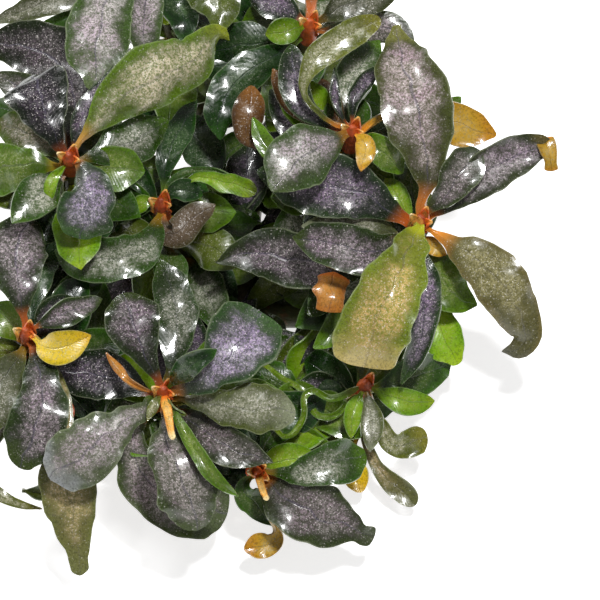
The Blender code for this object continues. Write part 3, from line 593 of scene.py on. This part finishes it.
def makeInnerLeaves(name, crown, top):
    chance = random.Random(name + str(innerLeaves["seed"]))
    upright = Matrix.Rotation(-math.radians(drawing["tilt"]), 3, "X")
    stops = [top] + [planned(*point) for point in reversed(crown["stem"])]
    made = []
    for index in range(crown.get("inner", innerLeaves["perCrown"])):
        walked = (innerLeaves["highest"] + index * crown.get("innerSpacing", innerLeaves["spacing"])) * mm
        near, far = stops[0], stops[1]
        for near, far in zip(stops, stops[1:]):
            if walked < (far - near).length:
                break
            walked -= (far - near).length
        foot = near.lerp(far, min(1.0, walked / (far - near).length))
        for attempt in range(12):
            turn = math.radians(index * innerLeaves["turn"] + attempt * 47.0)
            length = chance.uniform(*innerLeaves["length"]) * mm
            rise = math.radians(chance.uniform(5.0, 40.0))
            outwards = upright @ Vector((math.cos(turn) * math.cos(rise), math.sin(turn) * math.cos(rise), math.sin(rise)))
            droop = upright @ Vector((0.0, 0.0, -length * chance.uniform(0.05, 0.3)))
            middle = foot + outwards * length * 0.55
            tip = foot + outwards * length + droop
            level = upright.inverted() @ tip
            x, y = tip.x / mm + drawing["middleX"], tip.y / mm + drawing["middleY"]
            if insideEdge(x, y) and 2.0 * mm < level.z < crown.get("innerTop", crown["top"][2] - 2.0) * mm:
                break
        else:
            continue
        leaf = {"width": chance.uniform(*innerLeaves["width"]), "cup": chance.choice((-14.0, 12.0, 18.0)),
                "outline": chance.choice(innerLeaves["outlines"]), "skin": chance.choice(innerLeaves["skins"]),
                "roll": (0.0, chance.uniform(-25.0, 25.0)), "coarse": True}
        made.append(makeLeaf(name + "Inner", [foot, middle, tip], leaf))
    return made


# One shoot: its stem, the sheaths around its crown and its small leaves, joined into one piece

shootMake = {"groundRadius": 2.5, "stemRadius": 1.8, "crownRadius": 1.9, "orangeReach": 6.0,
             "sheaths": 3, "sheathWidth": 2.4}


def makeStem(name, crown):
    top = drawn(*crown["top"])
    points = [planned(*point) for point in crown["stem"]]
    axis = (top - points[-1]).normalized()
    radii = [crown.get("groundRadius", shootMake["groundRadius"]) if point[2] < 3.0 else shootMake["stemRadius"]
             for point in crown["stem"]]
    points += [points[-1].lerp(top, 0.25), top, top + axis * 1.6 * mm]
    radii += [shootMake["stemRadius"], shootMake["crownRadius"] * 0.8, 0.5]
    stem = makeMidrib(points, (0.0, 0.0))
    stem.name = name
    stem.data.resolution_u = 6
    stem.data.bevel_depth = mm
    stem.data.bevel_resolution = 4
    stem.data.use_fill_caps = True
    for knot, radius in zip(stem.data.splines[0].bezier_points, radii):
        knot.radius = radius
    pickOnly(stem)
    bpy.ops.object.convert(target="MESH")
    stem = bpy.context.object
    bpy.ops.object.mode_set(mode="EDIT")
    bpy.ops.mesh.select_all(action="SELECT")
    bpy.ops.mesh.remove_doubles(threshold=0.00001)
    bpy.ops.mesh.normals_make_consistent(inside=False)
    bpy.ops.object.mode_set(mode="OBJECT")
    bpy.ops.object.shade_smooth()
    stem.data.materials.clear()
    for material in stemMaterials:
        stem.data.materials.append(material)
    for face in stem.data.polygons:
        face.material_index = int((face.center - top).length < shootMake["orangeReach"] * mm)
    return stem, top, axis


def makeSheaths(name, crown, top, axis):
    # the short sheaths that clasp the foot of every leaf stalk
    first = axis.orthogonal().normalized()
    second = axis.cross(first)
    sheaths = []
    for index in range(crown.get("sheaths", shootMake["sheaths"])):
        turn = index * 2.4
        outwards = first * math.cos(turn) + second * math.sin(turn)
        low = top - axis * (2.6 + index * 0.45) * mm + outwards * 0.8 * mm
        middle = top + axis * (0.6 - index * 0.3) * mm + outwards * 1.2 * mm
        high = top + axis * (2.8 - index * 0.6) * mm + outwards * (1.7 + 0.4 * index) * mm
        sheath = {"width": shootMake["sheathWidth"], "outline": "sheath", "cup": 30.0, "ruffle": 0.15,
                  "skin": "sheathPale" if index % 3 == 1 else "sheath", "under": "sheath"}
        sheaths.append(makeLeaf(f"{name}Sheath{index}", [low, middle, high], sheath))
    return sheaths


def makeCrown(name, crown):
    stem, top, axis = makeStem(name, crown)
    parts = makeSheaths(name, crown, top, axis) + makeInnerLeaves(name, crown, top)
    for leaf in crown["leaves"]:
        points = leafPoints(crown, leaf)
        if "node" in leaf:
            piece = makeLeaf(leaf["node"].replace("leaf_", "blade_"), points, leaf)
            standUp(piece)
            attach(piece, "root")
            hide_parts(leaf["node"])
        else:
            parts.append(makeLeaf(name + "Leaf", points, leaf))
    pickOnly(stem)
    for part in parts:
        part.select_set(True)
    bpy.ops.object.join()
    standUp(stem)
    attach(stem, "root")
    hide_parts(crown["node"])
    print("crown made:", name, len(crown["leaves"]), "leaves")


# The left crown

shootLeft = {
    "node": "shoot_left",
    "top": (14, 88.5, 45),
    "stem": [(-4.2, 15, 2.2), (-18, 15, 2.2), (-29, 11.5, 9), (-33.2, 8.6, 27)],
    "leaves": [
        dict(node="leaf_left_1", slot="olive", skin="oliveRose", shade=1.35, width=13, cup=-16, outline="lance", roll=(18, 20),
             route=[(22, 98, 49), (30, 103.5, 51), (38, 107.5, 50), (44.2, 113.2, 47.5), (45.8, 112.2, 45.5)]),
        dict(node="leaf_left_2", slot="plum", skin="plumDark", width=4.6, cup=10, outline="lance", level=1,
             route=[(16.8, 97, 44.5), (20, 102, 45), (22.6, 106.8, 45.6)]),
        dict(node="leaf_left_3", slot="plum", skin="plumDark", shade=0.3, width=13, cup=-8, outline="blunt", level=0.5,
             route=[(10, 95.5, 49), (7.2, 103.4, 50), (6.4, 105, 47)]),
        dict(node="leaf_left_4", slot="plum", skin="plumSilver", shade=0.25, width=14, cup=6, level=3,
             route=[(14.4, 101, 37.5), (11.2, 107.8, 35), (3.5, 111.6, 32.5), (-6, 111.6, 28)]),
        dict(node="leaf_left_5", slot="olive", skin="freshGreen", shade=0.75, width=10.5, cup=-12, outline="strap", level=2,
             route=[(6, 87, 43), (-1, 86, 39.5), (-9, 83.5, 33)]),
        dict(node="leaf_left_6", slot="silver", skin="lilac", width=12, cup=-12, outline="square", roll=(0, -15), wobble=0.12,
             route=[(18.8, 82.5, 47), (17.6, 77, 44.5), (16.3, 72.8, 41)]),
        dict(node="leaf_left_7", slot="deep_green", skin="oliveSilver", shade=0.8, width=9.6, cup=-10, level=2, roll=(0, 10),
             route=[(23, 90.4, 42), (29, 93, 41), (33.6, 96, 39)]),
        dict(skin="oliveRose", shade=0.8, width=8, cup=12, outline="strap", level=1,
             route=[(7, 92.8, 42), (-1, 95.6, 38)]),
        dict(skin="lime", width=2.6, cup=12, outline="strap", level=1,
             route=[(10.6, 83.6, 43.2), (9.8, 79.2, 41)]),
        dict(skin="plumGrey", width=7.4, cup=12, level=3,
             route=[(8.5, 81.1, 37.7), (1.8, 78.3, 34.6)]),
        dict(skin="plumGrey", shade=0.7, width=7, cup=12, outline="strap", level=4,
             route=[(9, 99, 35), (-2, 106, 31)]),
        dict(skin="shadeGreen", width=6.5, cup=12, outline="strap", level=4,
             route=[(6, 96, 36), (-3, 99.6, 32)]),
    ],
}
makeCrown("shootLeft", shootLeft)

# The crown at the upper left, turned away

shootBackLeft = {
    "node": "shoot_back_left",
    "top": (31, 131, 30),
    "stem": [(-3, 31, 2.2), (-8, 43, 2.2), (-13.5, 57, 7), (-16.2, 63, 18)],
    "leaves": [
        dict(node="leaf_back_left_1", slot="silver", skin="silver", shade=1.05, width=13, cup=-6, outline="blunt",
             route=[(23, 125, 40), (19.6, 115, 44), (18.6, 103.2, 42.5)]),
        dict(node="leaf_back_left_2", slot="olive", skin="roundOlive", shade=0.7, width=10.4, cup=-12, outline="strap",
             route=[(39, 126, 36), (43.6, 120, 38.5), (44, 114.2, 37)]),
        dict(node="leaf_back_left_3", slot="deep_green", skin="deepGreen", width=7.5, cup=10, level=2,
             route=[(34, 122, 30), (36.3, 117, 31), (36.2, 112, 29)]),
        dict(node="leaf_back_left_4", slot="plum", skin="plumSilver", width=12, cup=10, level=1,
             route=[(23, 138, 30), (13, 142, 24), (3, 143, 14)]),
        dict(skin="silver", width=7.5, cup=12, outline="strap", level=1,
             route=[(28.7, 121, 34.5), (28.2, 108.5, 35.5)]),
        dict(skin="olive", width=10, cup=12, level=1,
             route=[(37, 138, 28), (43, 145, 18)]),
        dict(skin="oliveGrey", width=7, cup=12, level=1, shade=0.7,
             route=[(20, 127, 34), (8, 120.6, 33), (-3, 116.6, 30)]),
        dict(skin="shadeGreen", width=6, cup=12, level=2,
             route=[(22, 124, 30), (14, 118, 29), (7, 116, 27)]),
    ],
}
makeCrown("shootBackLeft", shootBackLeft)

# The crown at the back

shootBack = {
    "node": "shoot_back",
    "top": (62, 116, 36),
    "stem": [(2.8, 34.6, 2.2), (6, 39, 3.6), (11, 42.4, 13), (13.2, 43.6, 24)],
    "leaves": [
        dict(node="leaf_back_1", slot="deep_green", skin="deepGreen", width=8.5, cup=-10, outline="strap", level=2.5,
             route=[(54, 109, 33.5), (47, 104, 33), (44, 98, 32), (43.6, 92.5, 29)]),
        dict(node="leaf_back_2", slot="olive", skin="oliveGrey", shade=0.5, width=8, cup=10,
             route=[(70, 119.8, 39.5), (80, 123.5, 36.5)]),
        dict(node="leaf_back_3", slot="plum", skin="plumGrey", width=6.5, cup=-10, outline="strap", level=1.6,
             route=[(71, 115, 32.6), (78.5, 115, 32.6), (83.2, 110.5, 30.5)]),
        dict(node="leaf_back_4", slot="plum", skin="plumSilver", width=11, cup=12, level=1,
             route=[(63, 125, 35), (67, 134, 27), (70, 141, 16)]),
        dict(skin="lime", shade=0.7, width=5.6, cup=12, outline="strap", level=0.3,
             route=[(58, 114.6, 37.5), (53, 113.8, 36.5)]),
        dict(skin="freshGreen", shade=0.7, width=8, cup=12, level=2,
             route=[(56, 117.4, 32), (48, 116.4, 30)]),
        dict(skin="plumDark", width=6.5, cup=12,
             route=[(56, 119.6, 36.5), (49.5, 122, 34)]),
        dict(skin="deepGreen", width=9, cup=12, level=4,
             route=[(54, 118.4, 28), (46, 118.8, 26)]),
    ],
}
makeCrown("shootBack", shootBack)

# The crown above the right one

shootTop = {
    "node": "shoot_top",
    "top": (70.4, 94, 42),
    "stem": [(4.6, 13, 2.2), (12, 14, 3.2), (19, 15, 14), (21.6, 15.1, 28)],
    "leaves": [
        dict(node="leaf_top_1", slot="olive", skin="olive", width=6, cup=12, outline="paddle",
             route=[(64, 97, 46), (60.9, 101.8, 49), (62.4, 107, 51.5), (67.5, 111.6, 53), (75.4, 116, 53)]),
        dict(node="leaf_top_2", slot="silver", skin="silver", width=12.6, cup=-10, outline="strap",
             route=[(65, 91, 46), (59, 87.3, 47.5), (54.8, 81.4, 45.5)]),
        dict(node="leaf_top_3", slot="gold", skin="gold", width=8.4, cup=10, outline="spoon", level=1.5,
             route=[(77, 96.8, 42), (85, 97, 40), (92, 95.2, 38.5), (99.2, 93.2, 36)]),
        dict(node="leaf_top_4", slot="plum", skin="plumDark", width=6.2, cup=14, outline="strap", level=1,
             route=[(63.5, 96.4, 42.8), (60, 100, 44.5), (58.8, 105, 46), (58.3, 111.4, 45)]),
        dict(node="leaf_top_5", slot="plum", skin="plumDark", width=7.2, cup=14, level=4,
             route=[(63, 93.6, 36.6), (58, 96.6, 37), (54, 102.5, 36.6)]),
        dict(node="leaf_top_6", slot="copper", skin="brown", width=6.6, cup=-14, outline="ladle", level=5.5,
             route=[(61, 90, 34.5), (53.5, 89.5, 36), (49.6, 92.5, 38), (49.6, 97, 41), (50.6, 102.6, 41.5)]),
        dict(skin="plumDark", width=1.8, cup=12, outline="strap",
             route=[(67.6, 98.4, 45), (66.9, 106.6, 47)]),
        dict(skin="freshGreen", width=4, cup=14, outline="spoon", level=4.5,
             route=[(62, 89, 37), (56, 88.4, 38), (52.8, 91.6, 39.6), (50.6, 96.4, 41)]),
        dict(skin="oliveSilver", width=7.8, cup=12, outline="strap", level=3,
             route=[(69.6, 101.5, 40.5), (76, 112.4, 41)]),
        dict(skin="plumDark", width=3.6, cup=12, outline="strap",
             route=[(70.6, 99.4, 44.5), (75.6, 107, 45)]),
        dict(skin="gold", width=4.2, cup=12,
             route=[(73, 91, 44), (72.1, 85.8, 43.6)]),
        dict(skin="freshGreen", width=6.4, cup=12, level=1,
             route=[(76, 90, 42.4), (80.6, 85.4, 37.5)]),
        dict(skin="deepGreen", width=6, cup=12, level=3,
             route=[(75, 93.6, 37.6), (79.6, 96, 37.6)]),
        dict(skin="deepGreen", width=6.5, cup=12, level=3,
             route=[(70, 104, 40), (73.4, 111.6, 41)]),
        dict(skin="brown", width=6, cup=12, level=3,
             route=[(66.4, 98, 38.5), (64.4, 104.6, 39)]),
        dict(skin="brown", width=4.6, cup=12, outline="strap", level=2.5,
             route=[(63.4, 96, 39.6), (58, 100.4, 40.6), (54.6, 106.6, 40.6)]),
    ],
}
makeCrown("shootTop", shootTop)

# The right crown

shootRight = {
    "node": "shoot_right",
    "top": (84, 76, 34),
    "stem": [(3.8, -5, 2.2), (18, -4.2, 2.2), (30, -2.8, 9), (34.4, -1.8, 21)],
    "leaves": [
        dict(node="leaf_right_1", slot="plum", skin="plumDark", shade=1.15, width=13, cup=2, outline="strap", level=2,
             route=[(73, 81, 36.5), (64, 83.2, 37.5), (51.5, 85.8, 38)]),
        dict(node="leaf_right_2", slot="plum", skin="plumOlive", width=14.5, cup=12, outline="kite", roll=(-8, 0),
             route=[(85.4, 86, 41.5), (84.2, 94, 46.5), (82.4, 102, 49.5), (80.3, 109, 48.5), (79.5, 115, 45.5)]),
        dict(node="leaf_right_3", slot="plum", skin="plumGold", width=8.6, cup=14, outline="strap", level=1, roll=(0, 10),
             route=[(92.4, 81.6, 38.5), (99.6, 87, 41), (106, 90, 42.5), (111, 91.4, 42)]),
        dict(node="leaf_right_4", slot="copper", skin="bronze", width=11.4, cup=-14, outline="lance", level=0.6,
             route=[(90.5, 71.2, 34.6), (96.2, 67.4, 33), (101.6, 61, 29), (104.8, 55, 23), (104.8, 51.2, 19), (100.6, 49.4, 17)]),
        dict(node="leaf_right_5", slot="gold", skin="goldGreen", shade=1.15, width=14, cup=14, outline="wedge",
             route=[(81.6, 69.5, 39.5), (78, 62, 40.5), (75, 56, 37.5), (73.6, 50.6, 33), (73.2, 48.2, 30.5)]),
        dict(node="leaf_right_6", slot="plum", skin="plumDark", shade=1.6, width=6.2, cup=20, outline="lance", level=3,
             route=[(85, 65, 32), (84.8, 58, 30), (83.6, 51, 26), (80.2, 43.2, 20)]),
        dict(node="leaf_right_7", slot="deep_green", skin="freshGreen", width=10, cup=12, outline="lance", level=4,
             route=[(87.6, 66, 26.5), (90.4, 61.4, 24), (95.6, 59, 21)]),
        dict(node="leaf_right_8", slot="lime", skin="lime", shade=1.5, width=8.4, cup=10, outline="blunt", level=6, wobble=0.12,
             route=[(86.2, 61, 19), (88, 54.2, 16.5), (91.4, 47.4, 13)]),
        dict(node="leaf_right_9", slot="silver", skin="plumSilver", shade=0.75, width=9.5, cup=12, outline="strap", level=2,
             route=[(74, 69.6, 36), (66, 71.4, 37), (58.6, 72.6, 35)]),
        dict(node="leaf_right_10", slot="silver", skin="plumSilver", shade=0.5, width=12, cup=8, level=5,
             route=[(70, 67.6, 26.5), (60, 68, 26.5), (50, 69.6, 27), (43.2, 67.4, 26)]),
        dict(node="leaf_right_11", slot="olive", skin="oliveSilver", width=9, cup=8, outline="strap", level=6,
             route=[(74, 65, 21.5), (66.5, 62.5, 21), (61.8, 57, 19.5)]),
        dict(skin="plumGrey", shade=0.85, width=8, cup=12, outline="blunt",
             route=[(90, 82.4, 40.5), (95.4, 89.8, 43.5)]),
        dict(skin="freshGreen", width=3.4, cup=12, apart=True,
             route=[(86, 96, 37), (90, 98.6, 37), (92.4, 101, 36.5)]),
        dict(skin="gold", width=3.4, cup=12, level=2.5,
             route=[(87, 70.4, 30.4), (89.3, 69, 29.4)]),
        dict(skin="gold", shade=0.75, width=3.6, cup=16, outline="flap", apart=True, wobble=0.15,
             route=[(108.6, 92.4, 42.4), (109.8, 89.6, 42.6), (110, 86, 41)]),
        dict(skin="tan", width=6.8, cup=-16, outline="flap", apart=True, wobble=0.2,
             route=[(67, 65.6, 27), (66, 61.4, 28.5), (65.6, 58, 27)]),
        dict(skin="oliveGrey", width=5.5, cup=12, outline="strap", level=4,
             route=[(72, 75, 32), (60.4, 74.8, 31.2)]),
        dict(skin="freshGreen", width=7.6, cup=12, outline="strap", level=8,
             route=[(76, 63, 15), (70, 56.5, 16.5), (63, 50.2, 16.5)]),
        dict(skin="lime", width=4.4, cup=12, outline="strap", level=3,
             route=[(79.6, 80.6, 32.8), (77, 84.4, 33)]),
    ],
}
makeCrown("shootRight", shootRight)

# The low crown inside the clump

shootInner = {
    "node": "shoot_inner",
    "top": (32, 79.5, 28),
    "stem": [(-3.6, 4, 2.2), (-9, 5, 3.4), (-13.5, 6, 10), (-15.4, 6.3, 18)],
    "leaves": [
        dict(node="leaf_inner_1", slot="deep_green", skin="deepGreen", width=6, cup=10, outline="lance",
             route=[(33.5, 89, 32), (36, 95, 31), (39, 100.5, 28)]),
        dict(node="leaf_inner_2", slot="copper", skin="underside", width=6.4, cup=-12, level=1,
             route=[(34, 73, 28), (38.5, 76.6, 30), (43, 79.2, 31)]),
        dict(node="leaf_inner_3", slot="olive", skin="oliveSilver", width=9.4, cup=10, outline="strap", level=1,
             route=[(28, 70, 30), (18, 68, 30.5), (10.8, 69.6, 27)]),
        dict(skin="lime", width=3.4, cup=12,
             route=[(29, 79.6, 29), (25.6, 77.4, 27.5)]),
        dict(skin="deepGreen", width=5, cup=12,
             route=[(35, 82, 29.5), (40.4, 81, 28)]),
        dict(skin="shadeGreen", width=1.3, cup=12, outline="stalk",
             route=[(35, 84.6, 31), (41, 86.2, 31.6), (49, 83.2, 30)]),
        dict(skin="deepGreen", width=9, cup=12, apart=True,
             route=[(44, 83, 17), (41, 90, 19), (36, 97.6, 19)]),
        dict(skin="lime", width=4, cup=12, outline="fishtail", wobble=0.2, level=1,
             route=[(38, 84.4, 30.4), (45, 83.6, 31.6), (50.4, 82, 31)]),
        dict(skin="deepGreen", width=5, cup=12, level=1,
             route=[(27.5, 84.5, 29), (22.6, 88.4, 28)]),
    ],
}
makeCrown("shootInner", shootInner)

# The front crown

shootFront = {
    "node": "shoot_front",
    "top": (33, 42, 30),
    "stem": [(-7.8, -18, 2.2), (-10, -25, 2.4), (-13.5, -33.6, 8), (-14.7, -37, 19)],
    "leaves": [
        dict(node="leaf_front_1", slot="plum", skin="plumSilver", shade=0.5, width=11, cup=-10, outline="blunt",
             route=[(29, 50, 35), (26.6, 56.5, 37.5), (25, 61, 36.5)]),
        dict(node="leaf_front_2", slot="deep_green", skin="oliveSilver", shade=0.5, width=8.6, cup=10, level=2,
             route=[(35.4, 52, 30.5), (34.9, 60, 31), (31.8, 68.4, 29)]),
        dict(node="leaf_front_3", slot="silver", skin="lilac", width=14, cup=10, outline="square", wobble=0.12,
             route=[(42.4, 45.4, 36.5), (47.6, 50.8, 39), (51.8, 57, 38)]),
        dict(node="leaf_front_4", slot="olive", skin="oliveGrey", shade=1.2, width=9.8, cup=-10, outline="blunt", level=1, wobble=0.14,
             route=[(42, 39.4, 31), (50, 38.6, 32.3), (58.6, 38.4, 29.5)]),
        dict(node="leaf_front_5", slot="plum", skin="plumGrey", shade=0.7, width=8.2, cup=8, level=3,
             route=[(41, 34.2, 26), (47, 30.4, 25.6), (54.6, 28, 24.6)]),
        dict(node="leaf_front_6", slot="silver", skin="plumGrey", shade=1.15, width=11.6, cup=-8, outline="blunt", level=1, wobble=0.14,
             route=[(34.5, 30, 31.5), (38, 22.2, 28.5), (40, 15.2, 22)]),
        dict(node="leaf_front_7", slot="plum", skin="plumGrey", shade=1.3, width=13.6, cup=4, outline="square", level=3,
             route=[(27.2, 34, 25), (28, 27, 20.5), (34, 21, 16), (44.4, 18, 12)]),
        dict(node="leaf_front_8", slot="silver", skin="silverPale", shade=0.85, width=13, cup=-10, outline="square", level=1, wobble=0.14,
             route=[(23.8, 35, 31.5), (17, 29.4, 30), (11.4, 25.4, 27)]),
        dict(node="leaf_front_9", slot="plum", skin="plumDark", shade=0.6, width=10, cup=4, level=3,
             route=[(23, 44.6, 27.5), (15, 45.6, 26), (9, 46, 23)]),
        dict(skin="deepGreen", width=5, cup=12,
             route=[(38.2, 46.9, 38.5), (43.6, 50.2, 42)]),
        dict(skin="freshGreen", width=3, cup=12, outline="strap",
             route=[(39.4, 30.6, 33.5), (43.4, 25, 31.5), (47.8, 21.4, 27)]),
        dict(skin="sheathPale", width=1.6, cup=12, outline="stalk",
             route=[(34.2, 36.6, 34.5), (35, 33.2, 36.5)]),
        dict(skin="olive", width=1.8, cup=12,
             route=[(31.4, 39.6, 31.4), (29.8, 36.2, 30.4)]),
        dict(skin="roundOlive", width=1.6, cup=12,
             route=[(34.8, 38.4, 31.4), (37.6, 37.2, 31)]),
        dict(skin="tan", width=1.5, cup=12, outline="strap", level=1,
             route=[(27, 43.4, 32.5), (24, 46.4, 32.5), (21.4, 49.6, 31)]),
    ],
}
makeCrown("shootFront", shootFront)

# The crown at the front left

shootFrontLeft = {
    "node": "shoot_front_left",
    "top": (5.5, 53.5, 30),
    "stem": [(-5.8, -8, 2.2), (-22, -14, 2.2), (-36, -21.4, 6), (-41.2, -24, 18)],
    "leaves": [
        dict(node="leaf_front_left_1", slot="silver", skin="plumSilver", shade=0.75, width=12, cup=-8, outline="strap",
             route=[(4, 63, 35), (3.5, 70, 36), (6.4, 77.2, 33)]),
        dict(node="leaf_front_left_2", slot="plum", skin="plumSilver", shade=0.7, width=12, cup=-10, outline="blunt", level=1,
             route=[(9, 42, 32), (7.6, 34, 29), (4.6, 27.4, 24)]),
        dict(node="leaf_front_left_3", slot="silver", skin="oliveGrey", shade=0.7, width=11, cup=6, outline="strap", level=2,
             route=[(1, 44, 28.5), (-4, 37, 25.5), (-9, 32, 21)]),
        dict(node="leaf_front_left_4", slot="copper", skin="bronzeOlive", shade=1.3, width=11.8, cup=-10, outline="tongue", level=3, wobble=0.08,
             route=[(13, 43, 27.5), (14.4, 36, 26), (13.6, 28, 23.5), (14.8, 18, 17.5), (16.4, 6.3, 9)]),
        dict(skin="plumSilver", width=5, cup=12,
             route=[(12.5, 57, 33), (20.6, 60.2, 31)]),
        dict(skin="yellow", width=6.8, cup=12, outline="stalked", wobble=0.03, ruffle=0.6,
             route=[(11.5, 50.4, 34.6), (18.6, 53, 36)]),
        dict(skin="deepGreen", width=8, cup=12, outline="stalked", level=4,
             route=[(7, 62, 24), (8.6, 70, 22), (12, 75, 20)]),
        dict(skin="shadeGreen", width=7, cup=-10, outline="stalked", level=5,
             route=[(12, 59, 22), (17, 64, 21), (18, 70, 19)]),
        dict(skin="deepGreen", width=7, cup=12, outline="stalked", level=4,
             route=[(12, 48, 23), (18, 42, 20), (20, 36, 17)]),
        dict(skin="olive", width=2.8, cup=12, outline="strap", level=3,
             route=[(-4, 39, 20), (-4, 26, 16), (1, 20.8, 14), (8.6, 18.4, 11)]),
        dict(skin="roundOlive", width=3.4, cup=12, outline="strap", apart=True,
             route=[(4.6, 22, 12), (8.4, 21.6, 11.6), (12, 23, 12)]),
        dict(skin="sheath", shade=0.5, width=1.7, cup=12, outline="strap", apart=True,
             route=[(12.4, 42, 26), (14.2, 38.6, 26.4), (14, 35, 25.6)]),
        dict(skin="deepGreen", width=8, cup=12, outline="stalked", level=5,
             route=[(9, 60, 20), (12, 66, 19), (14, 73, 18)]),
        dict(skin="plumGrey", width=8, cup=12, outline="strap", level=4,
             route=[(0, 42, 22), (-2, 35, 19), (-2.4, 28, 15)]),
    ],
}
makeCrown("shootFrontLeft", shootFrontLeft)

# The low crown at the right

shootLowRight = {
    "node": "shoot_low_right",
    "sheaths": 1,
    "top": (73, 43, 16),
    "stem": [(3.8, -23, 2.2), (12, -25, 2.2), (20, -27.6, 3.4), (23.8, -28.6, 8.6)],
    "leaves": [
        dict(skin="olive", width=5.8, cup=12, outline="fishtail",
             route=[(76.2, 35.2, 14), (79, 31.2, 11.5), (84.8, 32.4, 10)]),
        dict(skin="oliveGrey", width=4.4, cup=12, outline="strap",
             route=[(74.4, 35, 15.5), (74, 29.8, 13.5)]),
        dict(skin="lime", width=4, cup=12,
             route=[(70.6, 37, 15), (70.2, 32.4, 13)]),
        dict(skin="lime", width=5.4, cup=12,
             route=[(81, 39.8, 15), (87, 39.8, 12.5)]),
        dict(skin="plumDark", width=8, cup=12, level=3,
             route=[(65, 41.4, 9), (57.6, 39.6, 8)]),
        dict(skin="shadeGreen", width=8.6, cup=12, level=1,
             route=[(81, 44, 14.5), (90.4, 47, 10.5)]),
        dict(skin="bronzeOlive", width=4.4, cup=12, outline="fishtail", level=2,
             route=[(74.4, 28.4, 8), (82.4, 19.7, 4.5)]),
        dict(skin="yellow", width=5.2, cup=12, outline="ladle", level=3,
             route=[(71.6, 34, 8), (70.6, 28, 7), (72.2, 21.8, 5.5)]),
        dict(skin="lime", shade=0.6, width=1.3, cup=12, outline="stalk",
             route=[(66.4, 40.4, 17), (61.8, 41.6, 17.4), (60.4, 36, 16), (57.4, 32.8, 14.6), (54.8, 34.6, 14)]),
        dict(skin="lime", shade=0.6, width=1.3, cup=12, outline="stalk", level=1.5,
             route=[(64.6, 36.6, 12.6), (60.4, 42, 13.4), (56, 44.6, 13.6), (52.8, 47.2, 13.4)]),
    ],
}
makeCrown("shootLowRight", shootLowRight)

# The rhizome and its tip crown

rhizomeTip = {
    "node": "rhizome",
    "slot": "rhizome",
    "groundRadius": 3.0,
    "inner": 60,
    "innerSpacing": 1.5,
    "innerTop": 30.0,
    "top": (51.6, 26, 17.5),
    "stem": [(2, 30, 2.3), (0.6, 12, 2.3), (0, 0, 2.3), (-1.5, -14, 2.3), (-0.5, -32, 2.6), (2.6, -44, 8.5)],
    "leaves": [
        dict(node="leaf_tip_1", slot="silver", skin="oliveSilver", width=8.8, cup=12, outline="blunt",
             route=[(60, 26, 21.5), (66, 27.4, 22), (72.6, 29.4, 19)]),
        dict(node="leaf_tip_2", slot="plum", skin="plumGrey", shade=0.9, width=12.4, cup=8, outline="shield", level=1, wobble=0.1,
             route=[(58.4, 20, 17.5), (65.4, 16.4, 14.5), (74.2, 13.2, 9.5)]),
        dict(skin="shadeGreen", width=5.6, cup=12, outline="lance", level=1,
             route=[(48.8, 22.6, 14.5), (51.2, 19.4, 12), (54.4, 15, 9.5)]),
        dict(skin="gold", width=5.2, cup=12, outline="ladle", level=2,
             route=[(54, 17.5, 12), (55.4, 12.8, 8.5), (49.2, 10.4, 8)]),
        dict(skin="sheathPale", width=1.4, cup=12, outline="stalk",
             route=[(52.6, 22.4, 20.4), (53.4, 20.8, 21.4)]),
    ],
}
makeCrown("rhizomeTip", rhizomeTip)


# The stage: a pale floor, soft light from above and the camera

stage = {
    "floorSize": 4.0,
    "floorColour": (0.93, 0.93, 0.93, 1.0),
    "floorGlow": 0.7,
    "skyStrength": 0.22,
    "overhead": {"size": 0.12, "power": 7.5, "place": (0.16, -0.05, 0.95)},
    "window": {"size": 0.10, "power": 3.5, "place": (-0.45, 0.40, 0.50)},
    "cameraDistance": 1.5,      # metres from the middle of the picture
    "pictureWidth": 0.12,
    "target": (0.012, -0.015, 0.026),
}


def makeFloor():
    bpy.ops.mesh.primitive_plane_add(size=stage["floorSize"], location=(0.0, 0.0, -0.0002))
    floor = bpy.context.object
    floor.name = "floor"
    paint = bpy.data.materials.new("floorPaint")
    paint.use_nodes = True
    paint.node_tree.nodes["Principled BSDF"].inputs["Base Color"].default_value = stage["floorColour"]
    paint.node_tree.nodes["Principled BSDF"].inputs["Roughness"].default_value = 0.9
    paint.node_tree.nodes["Principled BSDF"].inputs["Emission Color"].default_value = (1.0, 1.0, 1.0, 1.0)
    paint.node_tree.nodes["Principled BSDF"].inputs["Emission Strength"].default_value = stage["floorGlow"]
    floor.data.materials.append(paint)


def makeLight(name, light):
    bpy.ops.object.light_add(type="AREA", location=light["place"])
    lamp = bpy.context.object
    lamp.name = name
    lamp.data.size = light["size"]
    lamp.data.energy = light["power"]
    lamp.rotation_euler = (Vector(stage["target"]) - Vector(light["place"])).to_track_quat("-Z", "Y").to_euler()


def makeCamera():
    tilt = math.radians(drawing["tilt"])
    towards = Vector((0.0, -math.sin(tilt), math.cos(tilt)))
    bpy.ops.object.camera_add(location=Vector(stage["target"]) + towards * stage["cameraDistance"],
                              rotation=(tilt, 0.0, 0.0))
    camera = bpy.context.object
    camera.data.sensor_width = 36.0
    camera.data.lens = 36.0 * stage["cameraDistance"] / stage["pictureWidth"]
    camera.data.clip_end = 20.0
    bpy.context.scene.camera = camera


makeFloor()
makeLight("overhead", stage["overhead"])
makeLight("window", stage["window"])
makeCamera()
world = bpy.data.worlds.new("sky")
world.use_nodes = True
world.node_tree.nodes["Background"].inputs["Color"].default_value = (1.0, 1.0, 1.0, 1.0)
world.node_tree.nodes["Background"].inputs["Strength"].default_value = stage["skyStrength"]
bpy.context.scene.world = world
bpy.context.scene.view_settings.view_transform = "Standard"
print("stage set")

for helper in list(blanks.values()) + [cloudPlace]:
    bpy.data.objects.remove(helper)
